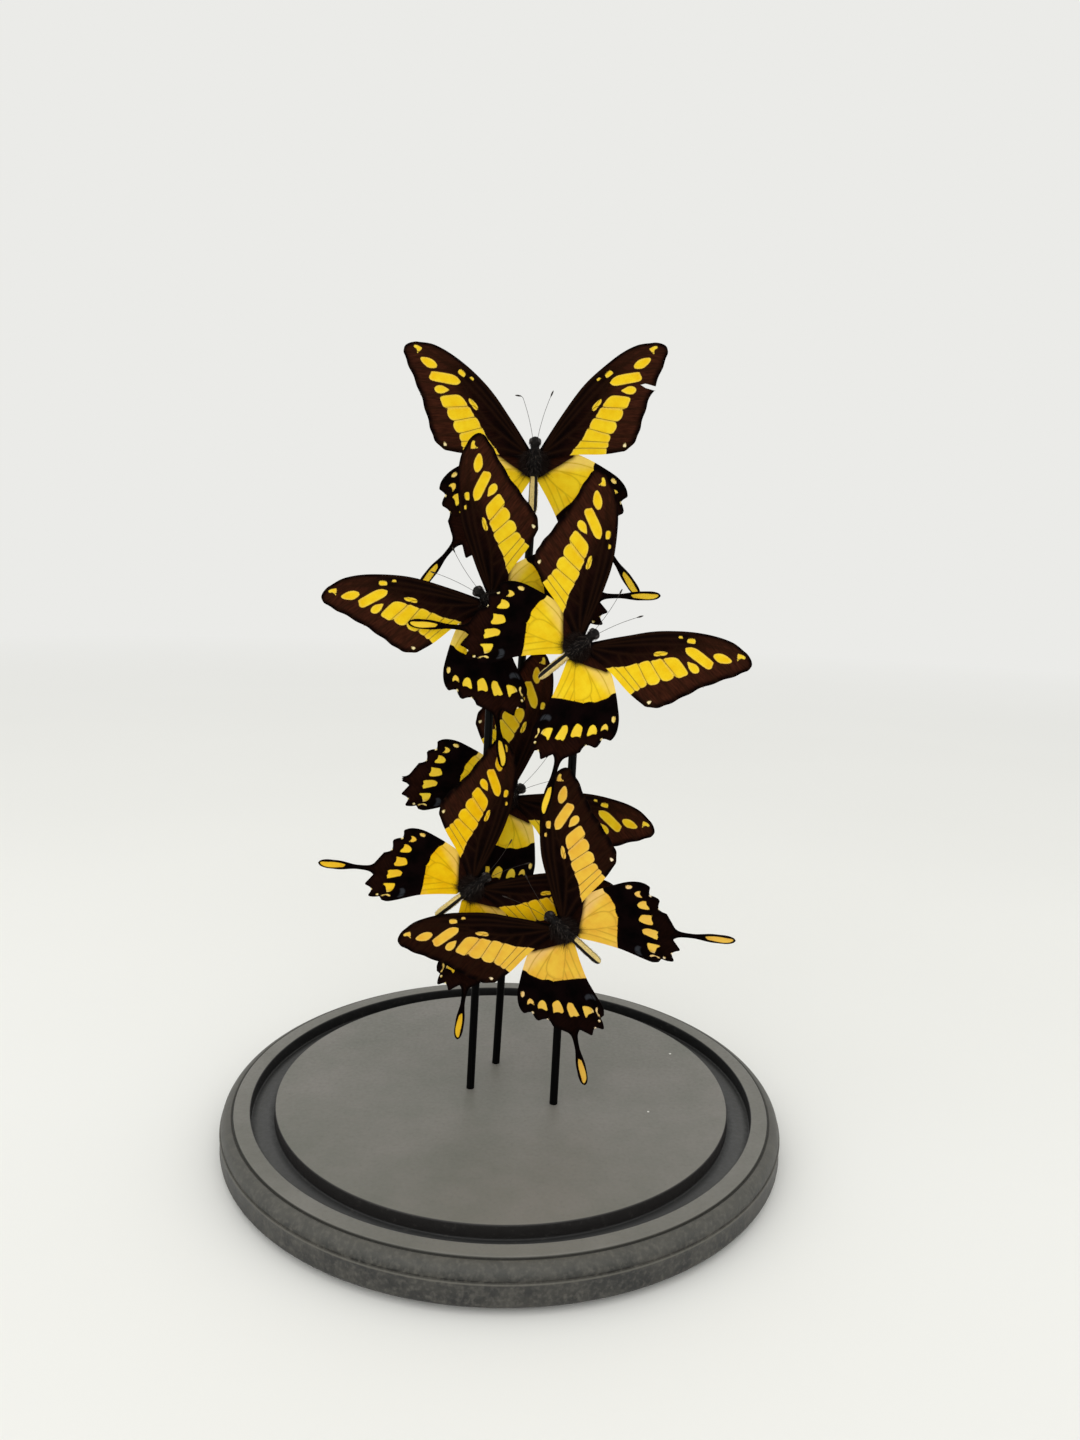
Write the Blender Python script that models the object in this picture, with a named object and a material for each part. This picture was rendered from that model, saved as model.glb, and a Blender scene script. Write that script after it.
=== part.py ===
"""Six mounted swallowtail butterflies on three thin rods, above a round base with a ring groove.

Metres, +Z up. The origin is the middle of the base's underside, and the front is towards -Y.
A butterfly's own frame has X to its right, Y towards its head and Z out of its back.
"""

import math

import bmesh
import bpy
from mathutils import Matrix, Vector

MM = 0.001
GAP = 0.3 * MM
# Points nearer than this are one point, and an edge bent by more than this angle is sharp.
MERGE_DISTANCE = 0.01 * MM
SHARP_ANGLE = math.radians(35)

# The base: a flat disc, a groove that a glass cover's rim sits in, a flat rim and a moulded edge.
DISC_RADIUS = 84.7 * MM
GROOVE_WIDTH = 8.5 * MM
GROOVE_DEPTH = 5.0 * MM
RIM_RADIUS = 99.2 * MM
QUIRK_WIDTH = 0.7 * MM
QUIRK_DEPTH = 0.9 * MM
BASE_RADIUS = 104.0 * MM
BASE_HEIGHT = 15.5 * MM
BULGE_RADIUS = 103.2 * MM
BULGE_HEIGHT = 10.5 * MM
BULGE_TURNS = (70, 40, 10)
BAND_TOP = 9.9 * MM
BAND_BOTTOM = 3.2 * MM
FOOT_RADIUS = 100.5 * MM
FOOT_CHAMFER = 0.8 * MM
BASE_STEPS = 40

# The rods stand in blind holes, and each leans a little to the right.
ROD_RADIUS = 1.5 * MM
ROD_SIDES = 12
ROD_HOLE_DEPTH = 8.0 * MM
HOLE_CUTTER_TOP = 5.0 * MM
ROD_ABOVE_THORAX = 3.0 * MM
RODS = {
    "left": {"foot": (-12.4 * MM, -1.7 * MM), "lean": math.radians(1.35)},
    "rear": {"foot": (-3.1 * MM, 18.8 * MM), "lean": math.radians(1.9)},
    "right": {"foot": (19.0 * MM, -12.0 * MM), "lean": math.radians(0.9)},
}

# How far the middle of a thorax stands in front of its rod's axis.
THORAX_STAND_OFF = 5.0 * MM

# Each butterfly: its rod, the height of its thorax above the disc, how far it sits beside the rod,
# its size against the pattern below, then degrees: the head's turn to the right, the lean and the
# turn of its back, the lift of the left and right wings, and the forward sweep of each wing.
BUTTERFLIES = {
    "top": {
        "rod": "rear", "height": 234, "aside": 0, "size": 1.02,
        "spin": 0, "pitch": -1, "yaw": -2, "lift": (1.5, 3.5), "fore": (-2.5, 0.5),
        "hind": (-2.5, -3.5),
    },
    "upper_left": {
        "rod": "left", "height": 184, "aside": -0.5, "size": 0.97,
        "spin": -49.5, "pitch": 8, "yaw": 2.5, "lift": (14, 13), "fore": (9.5, 4.5),
        "hind": (1, 3.5),
    },
    "upper_right": {
        "rod": "right", "height": 170, "aside": 0, "size": 0.98,
        "spin": 49, "pitch": -3, "yaw": -11, "lift": (14, 15), "fore": (3.5, 3.5),
        "hind": (3.5, -2.5),
    },
    "middle": {
        "rod": "rear", "height": 109, "aside": -2.5, "size": 0.96,
        "spin": 55, "pitch": -5.5, "yaw": -7.5, "lift": (12.5, 17.5), "fore": (4, 4),
        "hind": (-2, -2),
    },
    "lower_left": {
        "rod": "left", "height": 79.5, "aside": -3.5, "size": 0.93,
        "spin": 50.5, "pitch": -6, "yaw": 0, "lift": (5.5, 2.5), "fore": (7.5, 6),
        "hind": (4.5, 3),
    },
    "lower_right": {
        "rod": "right", "height": 69, "aside": 1, "size": 1.0,
        "spin": -48, "pitch": 2.5, "yaw": -6.5, "lift": (3.5, 6), "fore": (-1.5, 1),
        "hind": (-5.5, -1),
    },
}

# Where the wings hinge, to the side of the body's axis, along it and above it.
FORE_HINGE = (2.4 * MM, 3.0 * MM, 0.0)
HIND_HINGE = (2.2 * MM, -2.5 * MM, -0.9 * MM)
WING_THICKNESS = 0.4 * MM
# A wing droops towards its edges: the drop in millimetres at one millimetre from the hinge.
WING_DROOP = 0.0003

# A right forewing seen from above, in millimetres from its hinge: out, then forward.
FOREWING_EDGE = [
    (0.6, 2.2), (5.9, 12.6), (14.0, 24.0), (23.9, 33.2), (32.0, 38.1), (38.6, 39.4), (42.7, 38.2),
    (43.2, 34.9), (40.6, 28.2), (37.4, 19.8), (35.2, 11.6), (33.3, 5.7), (29.3, 2.0), (22.0, 0.8),
    (11.0, 0.4), (0.6, -0.9),
]
FOREWING_STEPS = 2
# The top butterfly's right forewing is torn in from the outer edge.
TEAR_START = 34.6
TEAR_MIDDLE = 25.8
TEAR_WIDTH = 1.3
TEAR_TAPER = 1.2
TEAR_CUTTER_END = 46.0
TEAR_CUTTER_HALF_DEPTH = 3.0

# A right hindwing, the same way: leading edge, scalloped outer edge with one tail, inner edge.
HINDWING_FRONT = [
    (0.8, 1.6), (6.0, 5.2), (11.7, 5.5), (18.3, 4.0), (23.3, 2.4), (27.5, 0.5), (30.4, -2.1),
    (31.9, -4.7),
]
TEETH_BEFORE_TAIL = [(31.9, -5.5), (31.4, -11.3), (29.7, -18.0)]
TEETH_AFTER_TAIL = [(23.0, -30.2), (17.9, -32.0), (13.4, -28.4)]
HINDWING_BACK = [(12.0, -27.0), (10.6, -23.9), (9.0, -19.7), (7.1, -15.3), (3.4, -9.2), (0.8, -4.3)]
TOOTH_WIDTH = 1.5
SCALLOP_DEPTH = 1.4
HINDWING_STEPS = 2
# Where along its chord a scallop has points, and a place well inside the wing.
SCALLOP_STEPS = (0.3, 0.7)
INSIDE_HINDWING = (15.0, -14.0)
# The tail: half widths, and then places along it as parts of its length.
TAIL_ROOT = (25.8, -24.2)
TAIL_TIP = (39.8, -40.6)
TAIL_ROOT_HALF_WIDTH = 2.6
TAIL_STEM_HALF_WIDTH = 0.85
TAIL_TIP_HALF_WIDTH = 1.75
TAIL_STEPS = (0.08, 0.2, 0.34, 0.5, 0.64, 0.8, 0.92)
TAIL_FLARE = 0.09
SPOON_START = 0.3
SPOON_WIDENS = 0.35
SPOON_ROUNDS = 0.8
# The middle butterfly's left tail has broken off: the part of it that is left.
BROKEN_TAILS = {("middle", "left"): 0.13}

# The body: stations from the front of the head to the abdomen's tip, in millimetres along the
# axis, with the half width, half depth and height of the middle above the wings' plane.
BODY_STATIONS = [
    (9.6, 0.5, 0.5, -0.2), (8.9, 1.6, 1.4, -0.2), (7.4, 2.1, 1.8, -0.2), (5.9, 1.6, 1.5, -0.2),
    (4.9, 2.2, 2.1, -0.2), (3.0, 2.6, 2.5, -0.2), (0.0, 2.6, 2.6, -0.2), (-3.2, 2.0, 2.3, -0.3),
    (-4.9, 1.4, 1.5, -0.4), (-7.5, 1.7, 1.7, -0.5), (-11.5, 1.65, 1.6, -0.6),
    (-15.2, 1.25, 1.2, -0.8), (-17.5, 0.45, 0.4, -0.9),
]
BODY_SIDES = 8

# One right leg, folded under the thorax: points out, forward and up, and the radius at each.
LEG_POINTS = [(1.2, 0.0, -2.0), (4.6, -1.6, -2.2), (3.4, -6.4, -2.4), (4.3, -9.6, -2.5)]
LEG_RADII = [0.35, 0.32, 0.22, 0.12]
LEG_SIDES = 3
LEG_STARTS = [3.6, 1.0, -1.6]
LEG_SPREAD = [0.7, 1.0, 1.35]

# One right antenna: it leaves the head and bends out, and ends in a small club.
ANTENNA_START = (0.9, 9.6, 0.6)
ANTENNA_LENGTH = 17.0
ANTENNA_SPLAY = math.radians(17)
ANTENNA_BEND = math.radians(7)
ANTENNA_RISE = math.radians(5)
ANTENNA_RADIUS = 0.2
ANTENNA_SIDES = 5
ANTENNA_STEPS = (0.0, 0.28, 0.55, 0.84, 0.9, 0.97, 1.0)
CLUB_RADIUS = 0.42
CLUB_LENGTH = 2.6
CLUB_BLUNTNESS = 0.85


def clear_scene():
    for obj in list(bpy.data.objects):
        bpy.data.objects.remove(obj, do_unlink=True)


def make_material(name, colour, roughness, metallic=0.0):
    material = bpy.data.materials.new(name)
    material.use_nodes = True
    shader = material.node_tree.nodes["Principled BSDF"]
    shader.inputs["Base Color"].default_value = (*colour, 1.0)
    shader.inputs["Roughness"].default_value = roughness
    shader.inputs["Metallic"].default_value = metallic
    return material


def make_object(name, work, material, parent=None, matrix=None):
    """Turns a bmesh into an object with one material, placed in its parent's frame."""
    bmesh.ops.recalc_face_normals(work, faces=work.faces)
    mesh = bpy.data.meshes.new(name)
    work.to_mesh(mesh)
    work.free()
    mesh.materials.append(material)
    mesh.shade_smooth()
    mesh.set_sharp_from_angle(angle=SHARP_ANGLE)
    obj = bpy.data.objects.new(name, mesh)
    bpy.context.scene.collection.objects.link(obj)
    if parent:
        obj.parent = parent
    if matrix:
        obj.matrix_local = matrix
    return obj


def curve_through(points, steps):
    """A smooth curve through all the points: each stretch is the cubic that leaves and arrives
    along the line between the neighbours of its ends."""
    ends = [Vector(p) for p in points]
    padded = [ends[0] * 2 - ends[1], *ends, ends[-1] * 2 - ends[-2]]
    found = []
    for before, start, end, after in zip(padded, padded[1:], padded[2:], padded[3:]):
        for k in range(steps):
            t = k / steps
            found.append(
                0.5 * (2 * start + (end - before) * t
                       + (2 * before - 5 * start + 4 * end - after) * t * t
                       + (3 * start - before - 3 * end + after) * t ** 3)
            )
    return [*found, ends[-1]]


def loft(work, rings):
    """Joins rings of equal length into a closed skin, with a flat cap on each end."""
    made = [[work.verts.new(point) for point in ring] for ring in rings]
    count = len(made[0])
    for low, high in zip(made, made[1:]):
        for i in range(count):
            j = (i + 1) % count
            work.faces.new((low[i], low[j], high[j], high[i]))
    work.faces.new(list(reversed(made[0])))
    work.faces.new(made[-1])


def tube_rings(points, radii, sides):
    """Circles square to the path through the points, with the given radius at each."""
    path = [Vector(p) for p in points]
    rings = []
    for i, point in enumerate(path):
        along = (path[min(i + 1, len(path) - 1)] - path[max(i - 1, 0)]).normalized()
        across = along.cross(Vector((0, 0, 1))).normalized()
        up = across.cross(along)
        turns = [2 * math.pi * k / sides for k in range(sides)]
        rings.append([point + (across * math.cos(a) + up * math.sin(a)) * radii[i] for a in turns])
    return rings


def rod_foot(rod):
    x, y = RODS[rod]["foot"]
    return Vector((x, y, BASE_HEIGHT))


def rod_axis(rod):
    return Vector((math.tan(RODS[rod]["lean"]), 0, 1))


def base_profile():
    """Radius and height down the base's outside, from the middle of the disc to the underside."""
    groove_outer = DISC_RADIUS + GROOVE_WIDTH
    groove_floor = BASE_HEIGHT - GROOVE_DEPTH
    quirk_outer = RIM_RADIUS + QUIRK_WIDTH
    quirk_floor = BASE_HEIGHT - QUIRK_DEPTH
    bulge = [math.radians(a) for a in BULGE_TURNS]
    across = BULGE_RADIUS - quirk_outer
    down = quirk_floor - BULGE_HEIGHT
    return [
        (0, BASE_HEIGHT), (DISC_RADIUS, BASE_HEIGHT), (DISC_RADIUS, groove_floor),
        (groove_outer, groove_floor), (groove_outer, BASE_HEIGHT), (RIM_RADIUS, BASE_HEIGHT),
        (RIM_RADIUS, quirk_floor), (quirk_outer, quirk_floor),
        *[(quirk_outer + across * math.cos(a), BULGE_HEIGHT + down * math.sin(a)) for a in bulge],
        (BASE_RADIUS, BAND_TOP), (BASE_RADIUS, BAND_BOTTOM),
        (FOOT_RADIUS, FOOT_CHAMFER), (FOOT_RADIUS - FOOT_CHAMFER, 0), (0, 0),
    ]


def build_base(material):
    """The turned base, with a blind hole for each rod."""
    work = bmesh.new()
    corners = [work.verts.new((radius, 0, height)) for radius, height in base_profile()]
    edges = [work.edges.new(pair) for pair in zip(corners, corners[1:])]
    bmesh.ops.spin(
        work, geom=corners + edges, cent=(0, 0, 0), axis=(0, 0, 1), angle=2 * math.pi,
        steps=BASE_STEPS, use_duplicate=False,
    )
    bmesh.ops.remove_doubles(work, verts=work.verts, dist=MERGE_DISTANCE)
    base = make_object("base", work, material)
    for rod in RODS:
        cutter = build_rod_solid(
            f"hole_{rod}", rod, -ROD_HOLE_DEPTH, HOLE_CUTTER_TOP, ROD_RADIUS + GAP, material
        )
        cutter.hide_render = True
        cutter.display_type = "WIRE"
        cut = base.modifiers.new(f"hole_{rod}", "BOOLEAN")
        cut.operation = "DIFFERENCE"
        cut.solver = "EXACT"
        cut.object = cutter
    return base


def build_rod_solid(name, rod, low, high, radius, material):
    """A straight round rod between two heights above the disc."""
    ends = [rod_foot(rod) + rod_axis(rod) * height for height in (low, high)]
    rings = []
    for end in ends:
        turns = [2 * math.pi * k / ROD_SIDES for k in range(ROD_SIDES)]
        rings.append([end + Vector((math.cos(a), math.sin(a), 0)) * radius for a in turns])
    work = bmesh.new()
    loft(work, rings)
    return make_object(name, work, material)


def build_rods(material):
    """Each rod runs from its hole to just past the thorax of the highest butterfly on it."""
    for rod in RODS:
        tops = [b["height"] * MM for b in BUTTERFLIES.values() if b["rod"] == rod]
        build_rod_solid(
            f"rod_{rod}", rod, GAP - ROD_HOLE_DEPTH, max(tops) + ROD_ABOVE_THORAX, ROD_RADIUS,
            material,
        )


def body_frame(butterfly):
    """The butterfly's frame in the world: its back faces the front, its head turned by spin."""
    turn = (
        Matrix.Rotation(math.radians(butterfly["yaw"]), 4, "Z")
        @ Matrix.Rotation(math.radians(butterfly["pitch"]), 4, "X")
        @ Matrix.Rotation(math.radians(butterfly["spin"]), 4, "Y")
        @ Matrix.Rotation(math.pi / 2, 4, "X")
    )
    back = turn.to_3x3() @ Vector((0, 0, 1))
    rod = butterfly["rod"]
    place = rod_foot(rod) + rod_axis(rod) * butterfly["height"] * MM
    place += back * THORAX_STAND_OFF + Vector((butterfly["aside"] * MM, 0, 0))
    return Matrix.Translation(place) @ turn


def wing_frame(hinge, lift, sweep, size, side):
    """Where a wing lies in the body's frame: swept about the hinge, then lifted."""
    place = Vector((hinge[0] * side, hinge[1], hinge[2])) * size
    return (
        Matrix.Translation(place)
        @ Matrix.Rotation(-math.radians(lift) * side, 4, "Y")
        @ Matrix.Rotation(math.radians(sweep) * side, 4, "Z")
    )


def forewing_outline():
    return curve_through(FOREWING_EDGE, FOREWING_STEPS)


def scallops(teeth):
    """Blunt teeth joined by hollow arcs: the chord between two, bowed in by a sine."""
    inner = Vector(INSIDE_HINDWING)
    points = []
    for start, end in zip(teeth, teeth[1:]):
        a, b = Vector(start), Vector(end)
        along = (b - a).normalized()
        low, high = a + along * TOOTH_WIDTH / 2, b - along * TOOTH_WIDTH / 2
        inward = Vector((along.y, -along.x))
        if inward.dot(inner - a) < 0:
            inward = -inward
        points += [low - along * TOOTH_WIDTH, low] if not points else [low]
        for t in SCALLOP_STEPS:
            points.append(low.lerp(high, t) + inward * SCALLOP_DEPTH * math.sin(math.pi * t))
        points.append(high)
    return [*points, high + along * TOOTH_WIDTH]


def tail_outline(kept):
    """The tail out and back: a stem that widens to a spoon with a round end. Only a first part of
    it is kept where the rest has broken off."""
    root, tip = Vector(TAIL_ROOT), Vector(TAIL_TIP)
    along = (tip - root).normalized()
    across = Vector((-along.y, along.x))
    length = (tip - root).length
    whole = kept == 1
    widths = []
    for t in [t for t in TAIL_STEPS if t < kept] + ([] if whole else [kept]):
        flare = TAIL_ROOT_HALF_WIDTH * math.exp(-t / TAIL_FLARE)
        widening = min(1, max(0, (t - SPOON_START) / SPOON_WIDENS))
        width = TAIL_STEM_HALF_WIDTH + (TAIL_TIP_HALF_WIDTH - TAIL_STEM_HALF_WIDTH) * widening
        rounding = max(0, (t - SPOON_ROUNDS) / (1 - SPOON_ROUNDS))
        widths.append((t, width * math.sqrt(1 - rounding ** 2) + flare))
    out = [root + along * length * t + across * w for t, w in widths]
    back = [root + along * length * t - across * w for t, w in reversed(widths)]
    return [*out, *([tip] if whole else []), *back]


def hindwing_outline(tail_kept):
    before, after = scallops(TEETH_BEFORE_TAIL), scallops(TEETH_AFTER_TAIL)
    return [
        *curve_through(HINDWING_FRONT, HINDWING_STEPS), *before, *tail_outline(tail_kept), *after,
        *curve_through(HINDWING_BACK, HINDWING_STEPS),
    ]


def wing_solid(outline, size, side):
    """A thin closed plate of the outline's shape, drooping towards its edges."""
    work = bmesh.new()
    flat = [work.verts.new((p.x, p.y, 0)) for p in outline]
    face = work.faces.new(flat)
    bmesh.ops.triangulate(work, faces=[face])
    extruded = bmesh.ops.extrude_face_region(work, geom=list(work.faces))
    for vert in extruded["geom"]:
        if isinstance(vert, bmesh.types.BMVert):
            vert.co.z = -1
    for vert in work.verts:
        out, forward, low = vert.co
        drop = WING_DROOP * (out * out + forward * forward) * MM
        level = (low + 0.5) * WING_THICKNESS - drop * size
        vert.co = Vector((out * side * size * MM, forward * size * MM, level))
    return work


def cut_tear(wing, material):
    """The slit that the top butterfly's right forewing has in its outer edge."""
    size = BUTTERFLIES["top"]["size"] * MM
    work = bmesh.new()
    half = TEAR_WIDTH / 2
    shoulder = TEAR_START + TEAR_TAPER
    corners = [
        (TEAR_START, 0.0), (shoulder, half), (TEAR_CUTTER_END, half), (TEAR_CUTTER_END, -half),
        (shoulder, -half),
    ]
    rings = []
    for level in (-TEAR_CUTTER_HALF_DEPTH, TEAR_CUTTER_HALF_DEPTH):
        rings.append([Vector((x * size, (TEAR_MIDDLE + y) * size, level * MM)) for x, y in corners])
    loft(work, rings)
    cutter = make_object("tear", work, material, wing.parent, wing.matrix_local)
    cutter.hide_render = True
    cutter.display_type = "WIRE"
    cut = wing.modifiers.new("tear", "BOOLEAN")
    cut.operation = "DIFFERENCE"
    cut.solver = "EXACT"
    cut.object = cutter


def body_solid(size):
    """Head, thorax and abdomen as one skin of ovals along the axis."""
    rings = []
    for along, wide, deep, middle in BODY_STATIONS:
        turns = [2 * math.pi * (k + 0.5) / BODY_SIDES for k in range(BODY_SIDES)]
        ring = [Vector((wide * math.cos(a), along, middle + deep * math.sin(a))) for a in turns]
        rings.append([point * size * MM for point in ring])
    work = bmesh.new()
    loft(work, rings)
    return work


def leg_solid(start, spread, side, size):
    points = [Vector((x * spread * side, start + y, z)) * size * MM for x, y, z in LEG_POINTS]
    work = bmesh.new()
    loft(work, tube_rings(points, [r * size * MM for r in LEG_RADII], LEG_SIDES))
    return work


def add_legs(body, name, parent, size, material):
    """Three pairs of folded legs, grown together with the thorax."""
    for start, spread in zip(LEG_STARTS, LEG_SPREAD):
        for side in (1, -1):
            label = f"{name}_leg_{start:+.0f}_{side:+d}".replace("+", "p").replace("-", "m")
            leg = make_object(label, leg_solid(start, spread, side, size), material, parent)
            leg.hide_render = True
            leg.display_type = "WIRE"
            join = body.modifiers.new(label, "BOOLEAN")
            join.operation = "UNION"
            join.solver = "EXACT"
            join.object = leg


def antenna_solid(side, size):
    """A thin stalk that bends out, and thickens to a club over its last stretch."""
    place = Vector(ANTENNA_START)
    points, radii = [], []
    for low, t in zip((0.0, *ANTENNA_STEPS), ANTENNA_STEPS):
        angle = ANTENNA_SPLAY + ANTENNA_BEND * (t - 0.5) * 2
        step = (t - low) * ANTENNA_LENGTH
        place = place + Vector((math.sin(angle), math.cos(angle), math.sin(ANTENNA_RISE))) * step
        points.append(Vector((place.x * side, place.y, place.z)) * size * MM)
        into_club = (t - 1) * ANTENNA_LENGTH / CLUB_LENGTH + 1
        club = math.sin(math.pi * min(1, max(0, into_club * CLUB_BLUNTNESS)))
        radii.append((ANTENNA_RADIUS + (CLUB_RADIUS - ANTENNA_RADIUS) * club) * size * MM)
    work = bmesh.new()
    loft(work, tube_rings(points, radii, ANTENNA_SIDES))
    return work


def build_butterfly(name, butterfly, materials):
    size = butterfly["size"]
    holder = bpy.data.objects.new(f"{name}_place", None)
    bpy.context.scene.collection.objects.link(holder)
    holder.matrix_world = body_frame(butterfly)

    body = make_object(f"{name}_body", body_solid(size), materials["body"], holder)
    add_legs(body, name, holder, size, materials["body"])
    for index, (word, side) in enumerate((("left", -1), ("right", 1))):
        lift = butterfly["lift"][index]
        for kind, hinge, outline in (
            ("fore", FORE_HINGE, forewing_outline()),
            ("hind", HIND_HINGE, hindwing_outline(BROKEN_TAILS.get((name, word), 1))),
        ):
            place = wing_frame(hinge, lift, butterfly[kind][index], size, side)
            wing = make_object(
                f"{name}_{kind}wing_{word}", wing_solid(outline, size, side), materials["wing"],
                holder, place,
            )
            if (name, kind, word) == ("top", "fore", "right"):
                cut_tear(wing, materials["wing"])
        make_object(
            f"{name}_antenna_{word}", antenna_solid(side, size), materials["antenna"], holder
        )


def main():
    clear_scene()
    materials = {
        "base": make_material("painted wood base", (0.20, 0.19, 0.165), 0.6),
        "rod": make_material("black lacquered steel rod", (0.006, 0.006, 0.007), 0.35, 0.2),
        "wing": make_material("scaled wing", (0.02, 0.008, 0.004), 0.7),
        "body": make_material("hairy body", (0.012, 0.01, 0.009), 0.8),
        "antenna": make_material("antenna", (0.02, 0.014, 0.01), 0.5),
    }
    build_base(materials["base"])
    build_rods(materials["rod"])
    for name, butterfly in BUTTERFLIES.items():
        build_butterfly(name, butterfly, materials)


if __name__ == "__main__":
    main()
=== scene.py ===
"""Six mounted swallowtail butterflies on three rods above a grooved round base.

Metres, +Z up, front towards -Y. A wing is worked out flat in millimetres from its hinge: out to the
right, then forward towards the head. A left wing is the same with its outward axis turned round.
"""

import functools
import math

import bpy
import numpy as np
from mathutils import Matrix, Vector


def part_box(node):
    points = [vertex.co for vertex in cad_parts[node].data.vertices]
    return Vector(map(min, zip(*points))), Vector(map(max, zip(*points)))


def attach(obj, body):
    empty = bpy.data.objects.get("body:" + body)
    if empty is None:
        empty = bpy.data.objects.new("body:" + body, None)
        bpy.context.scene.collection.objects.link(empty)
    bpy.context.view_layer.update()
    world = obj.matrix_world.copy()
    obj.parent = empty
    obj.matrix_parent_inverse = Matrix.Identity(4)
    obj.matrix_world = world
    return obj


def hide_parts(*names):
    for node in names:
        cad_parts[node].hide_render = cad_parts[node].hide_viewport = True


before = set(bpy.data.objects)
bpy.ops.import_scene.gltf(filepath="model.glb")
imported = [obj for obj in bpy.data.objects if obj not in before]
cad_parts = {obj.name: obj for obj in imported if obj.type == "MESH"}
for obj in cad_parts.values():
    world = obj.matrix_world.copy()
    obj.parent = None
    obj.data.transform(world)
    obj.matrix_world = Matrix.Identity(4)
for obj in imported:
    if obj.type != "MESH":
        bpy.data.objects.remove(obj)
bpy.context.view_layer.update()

bl_info = {
    "name": "Mounted butterflies on a grooved base",
    "version": (1, 0, 0),
    "blender": (4, 5, 0),
    "location": "View3D > Sidebar > Butterflies",
    "description": "Makes six mounted butterflies, their rods and their turned base",
    "category": "Object",
}

MM = 0.001
WING_VALUES = ("mark", "warm", "pale", "blue", "soot", "vein", "under")
UP = Vector((0, 0, 1))

# The camera, worked out from the two rings of the base.
CAMERA_PLACE = (0.0, -0.3725, 0.21345)
CAMERA_TURNS = {"yaw": 1.443, "pitch": 8.501, "roll": 1.98}
CAMERA_LENS = 25.92
SENSOR = 36.0

# The rods and the butterflies, as in the part's source.
BASE_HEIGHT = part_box("base")[1].z
GROOVE_INNER = 84.7 * MM
GROOVE_OUTER = 93.2 * MM
GROOVE_DEPTH = 5.0 * MM
# The groove's walls lean out by this much towards its floor, millimetres.
WALL_LEAN = 0.1
# The base's edge beside its flat rim, millimetres: a slot, a rounding that is part of an oval, and
# the corners under it. Each corner has its radius, its height and how far it is rounded.
RIM_RADIUS = 99.1
SLOT_RADII = (99.25, 99.6)
SLOT_DEPTH = 0.9
OVAL_MIDDLE = (99.7, 10.6)
OVAL_REACH = (3.85, 4.4)
OVAL_ANGLES = np.radians(np.arange(84, 5, -6))
LOWER_CORNERS = [
    (103.4, 10.5, 0.1), (103.4, 10.15, 0.1), (103.75, 10.15, 0.2), (104.0, 9.9, 0.2),
    (103.85, 8.8, 0.8), (103.85, 5.0, 0.8), (104.0, 3.4, 0.5), (103.4, 2.3, 0.5),
    (100.5, 0.8, 0.4), (99.7, 0.0, 0.3), (60.0, 0.0, 0.0), (0.0, 0.0, 0.0),
]
# Where the base's colour changes, from one radius to another, metres. The slot's darker colour is
# painted shade, as is the darkening at the groove's walls.
PAINT_CHANGES = {
    "groove": (0.0843, 0.0845), "rim": (0.0934, 0.0936), "edge": (0.0990, 0.0992),
    "slot": (0.0999, 0.0996),
}
# Two pale crumbs lie on the disc: across, back and radius, millimetres.
CRUMBS = [(68.6, 29.6, 0.5), (53.8, -16.9, 0.45)]
ROD_RADIUS = 1.5 * MM
# The rod's top edge is broken: its last ring has this share of the radius.
ROD_TIP = 0.8
ROD_STEPS = 60
ROD_SIDES = 32
RODS = {
    "left": {"foot": (-12.4 * MM, -1.7 * MM), "lean": math.radians(1.35)},
    "rear": {"foot": (-3.1 * MM, 18.8 * MM), "lean": math.radians(1.9)},
    "right": {"foot": (19.0 * MM, -12.0 * MM), "lean": math.radians(0.9)},
}
THORAX_STAND_OFF = 5.0 * MM
BUTTERFLIES = {
    "top": {
        "rod": "rear", "height": 234, "aside": 0, "size": 1.02,
        "spin": 0, "pitch": -1, "yaw": -2, "lift": (1.5, 3.5), "fore": (-2.5, 0.5),
        "hind": (-2.5, -3.5), "dye": "lemon", "twist": 42,
    },
    "upper_left": {
        "rod": "left", "height": 184, "aside": -0.5, "size": 0.97,
        "spin": -49.5, "pitch": 8, "yaw": 2.5, "lift": (14, 13), "fore": (9.5, 4.5),
        "hind": (1, 3.5), "dye": "lemon", "twist": 0,
    },
    "upper_right": {
        "rod": "right", "height": 170, "aside": 0, "size": 0.98,
        "spin": 49, "pitch": -3, "yaw": -11, "lift": (14, 15), "fore": (3.5, 3.5),
        "hind": (3.5, -2.5), "dye": "lemon", "twist": -20,
    },
    "middle": {
        "rod": "rear", "height": 109, "aside": -2.5, "size": 0.96,
        "spin": 55, "pitch": -5.5, "yaw": -7.5, "lift": (12.5, 17.5), "fore": (4, 4),
        "hind": (-2, -2), "dye": "lemon", "twist": 0,
    },
    "lower_left": {
        "rod": "left", "height": 79.5, "aside": -3.5, "size": 0.93,
        "spin": 50.5, "pitch": -6, "yaw": 0, "lift": (5.5, 2.5), "fore": (7.5, 6),
        "hind": (4.5, 3), "dye": "golden", "twist": 20,
    },
    "lower_right": {
        "rod": "right", "height": 69, "aside": 1, "size": 1.0,
        "spin": -48, "pitch": 2.5, "yaw": -6.5, "lift": (3.5, 6), "fore": (-1.5, 1),
        "hind": (-5.5, -1), "dye": "amber", "twist": -28,
    },
}
SIDES = (("left", -1), ("right", 1))
HINGES = {"fore": (2.4, 3.0, 0.0), "hind": (2.2, -2.5, -0.9)}
WING_DROOP = 0.0003
# Half a wing's thickness at its edge, and how much is added inside it.
WING_THICKNESS = (0.05, 0.06)
FORE_GRID = (84, 72)
HIND_ROWS = 48
# Points on the hindwing's outer edge: teeth, the cut where the tail starts, teeth.
HIND_OUTER_POINTS = (61, 15, 55)
TAIL_STEPS = 46
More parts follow.
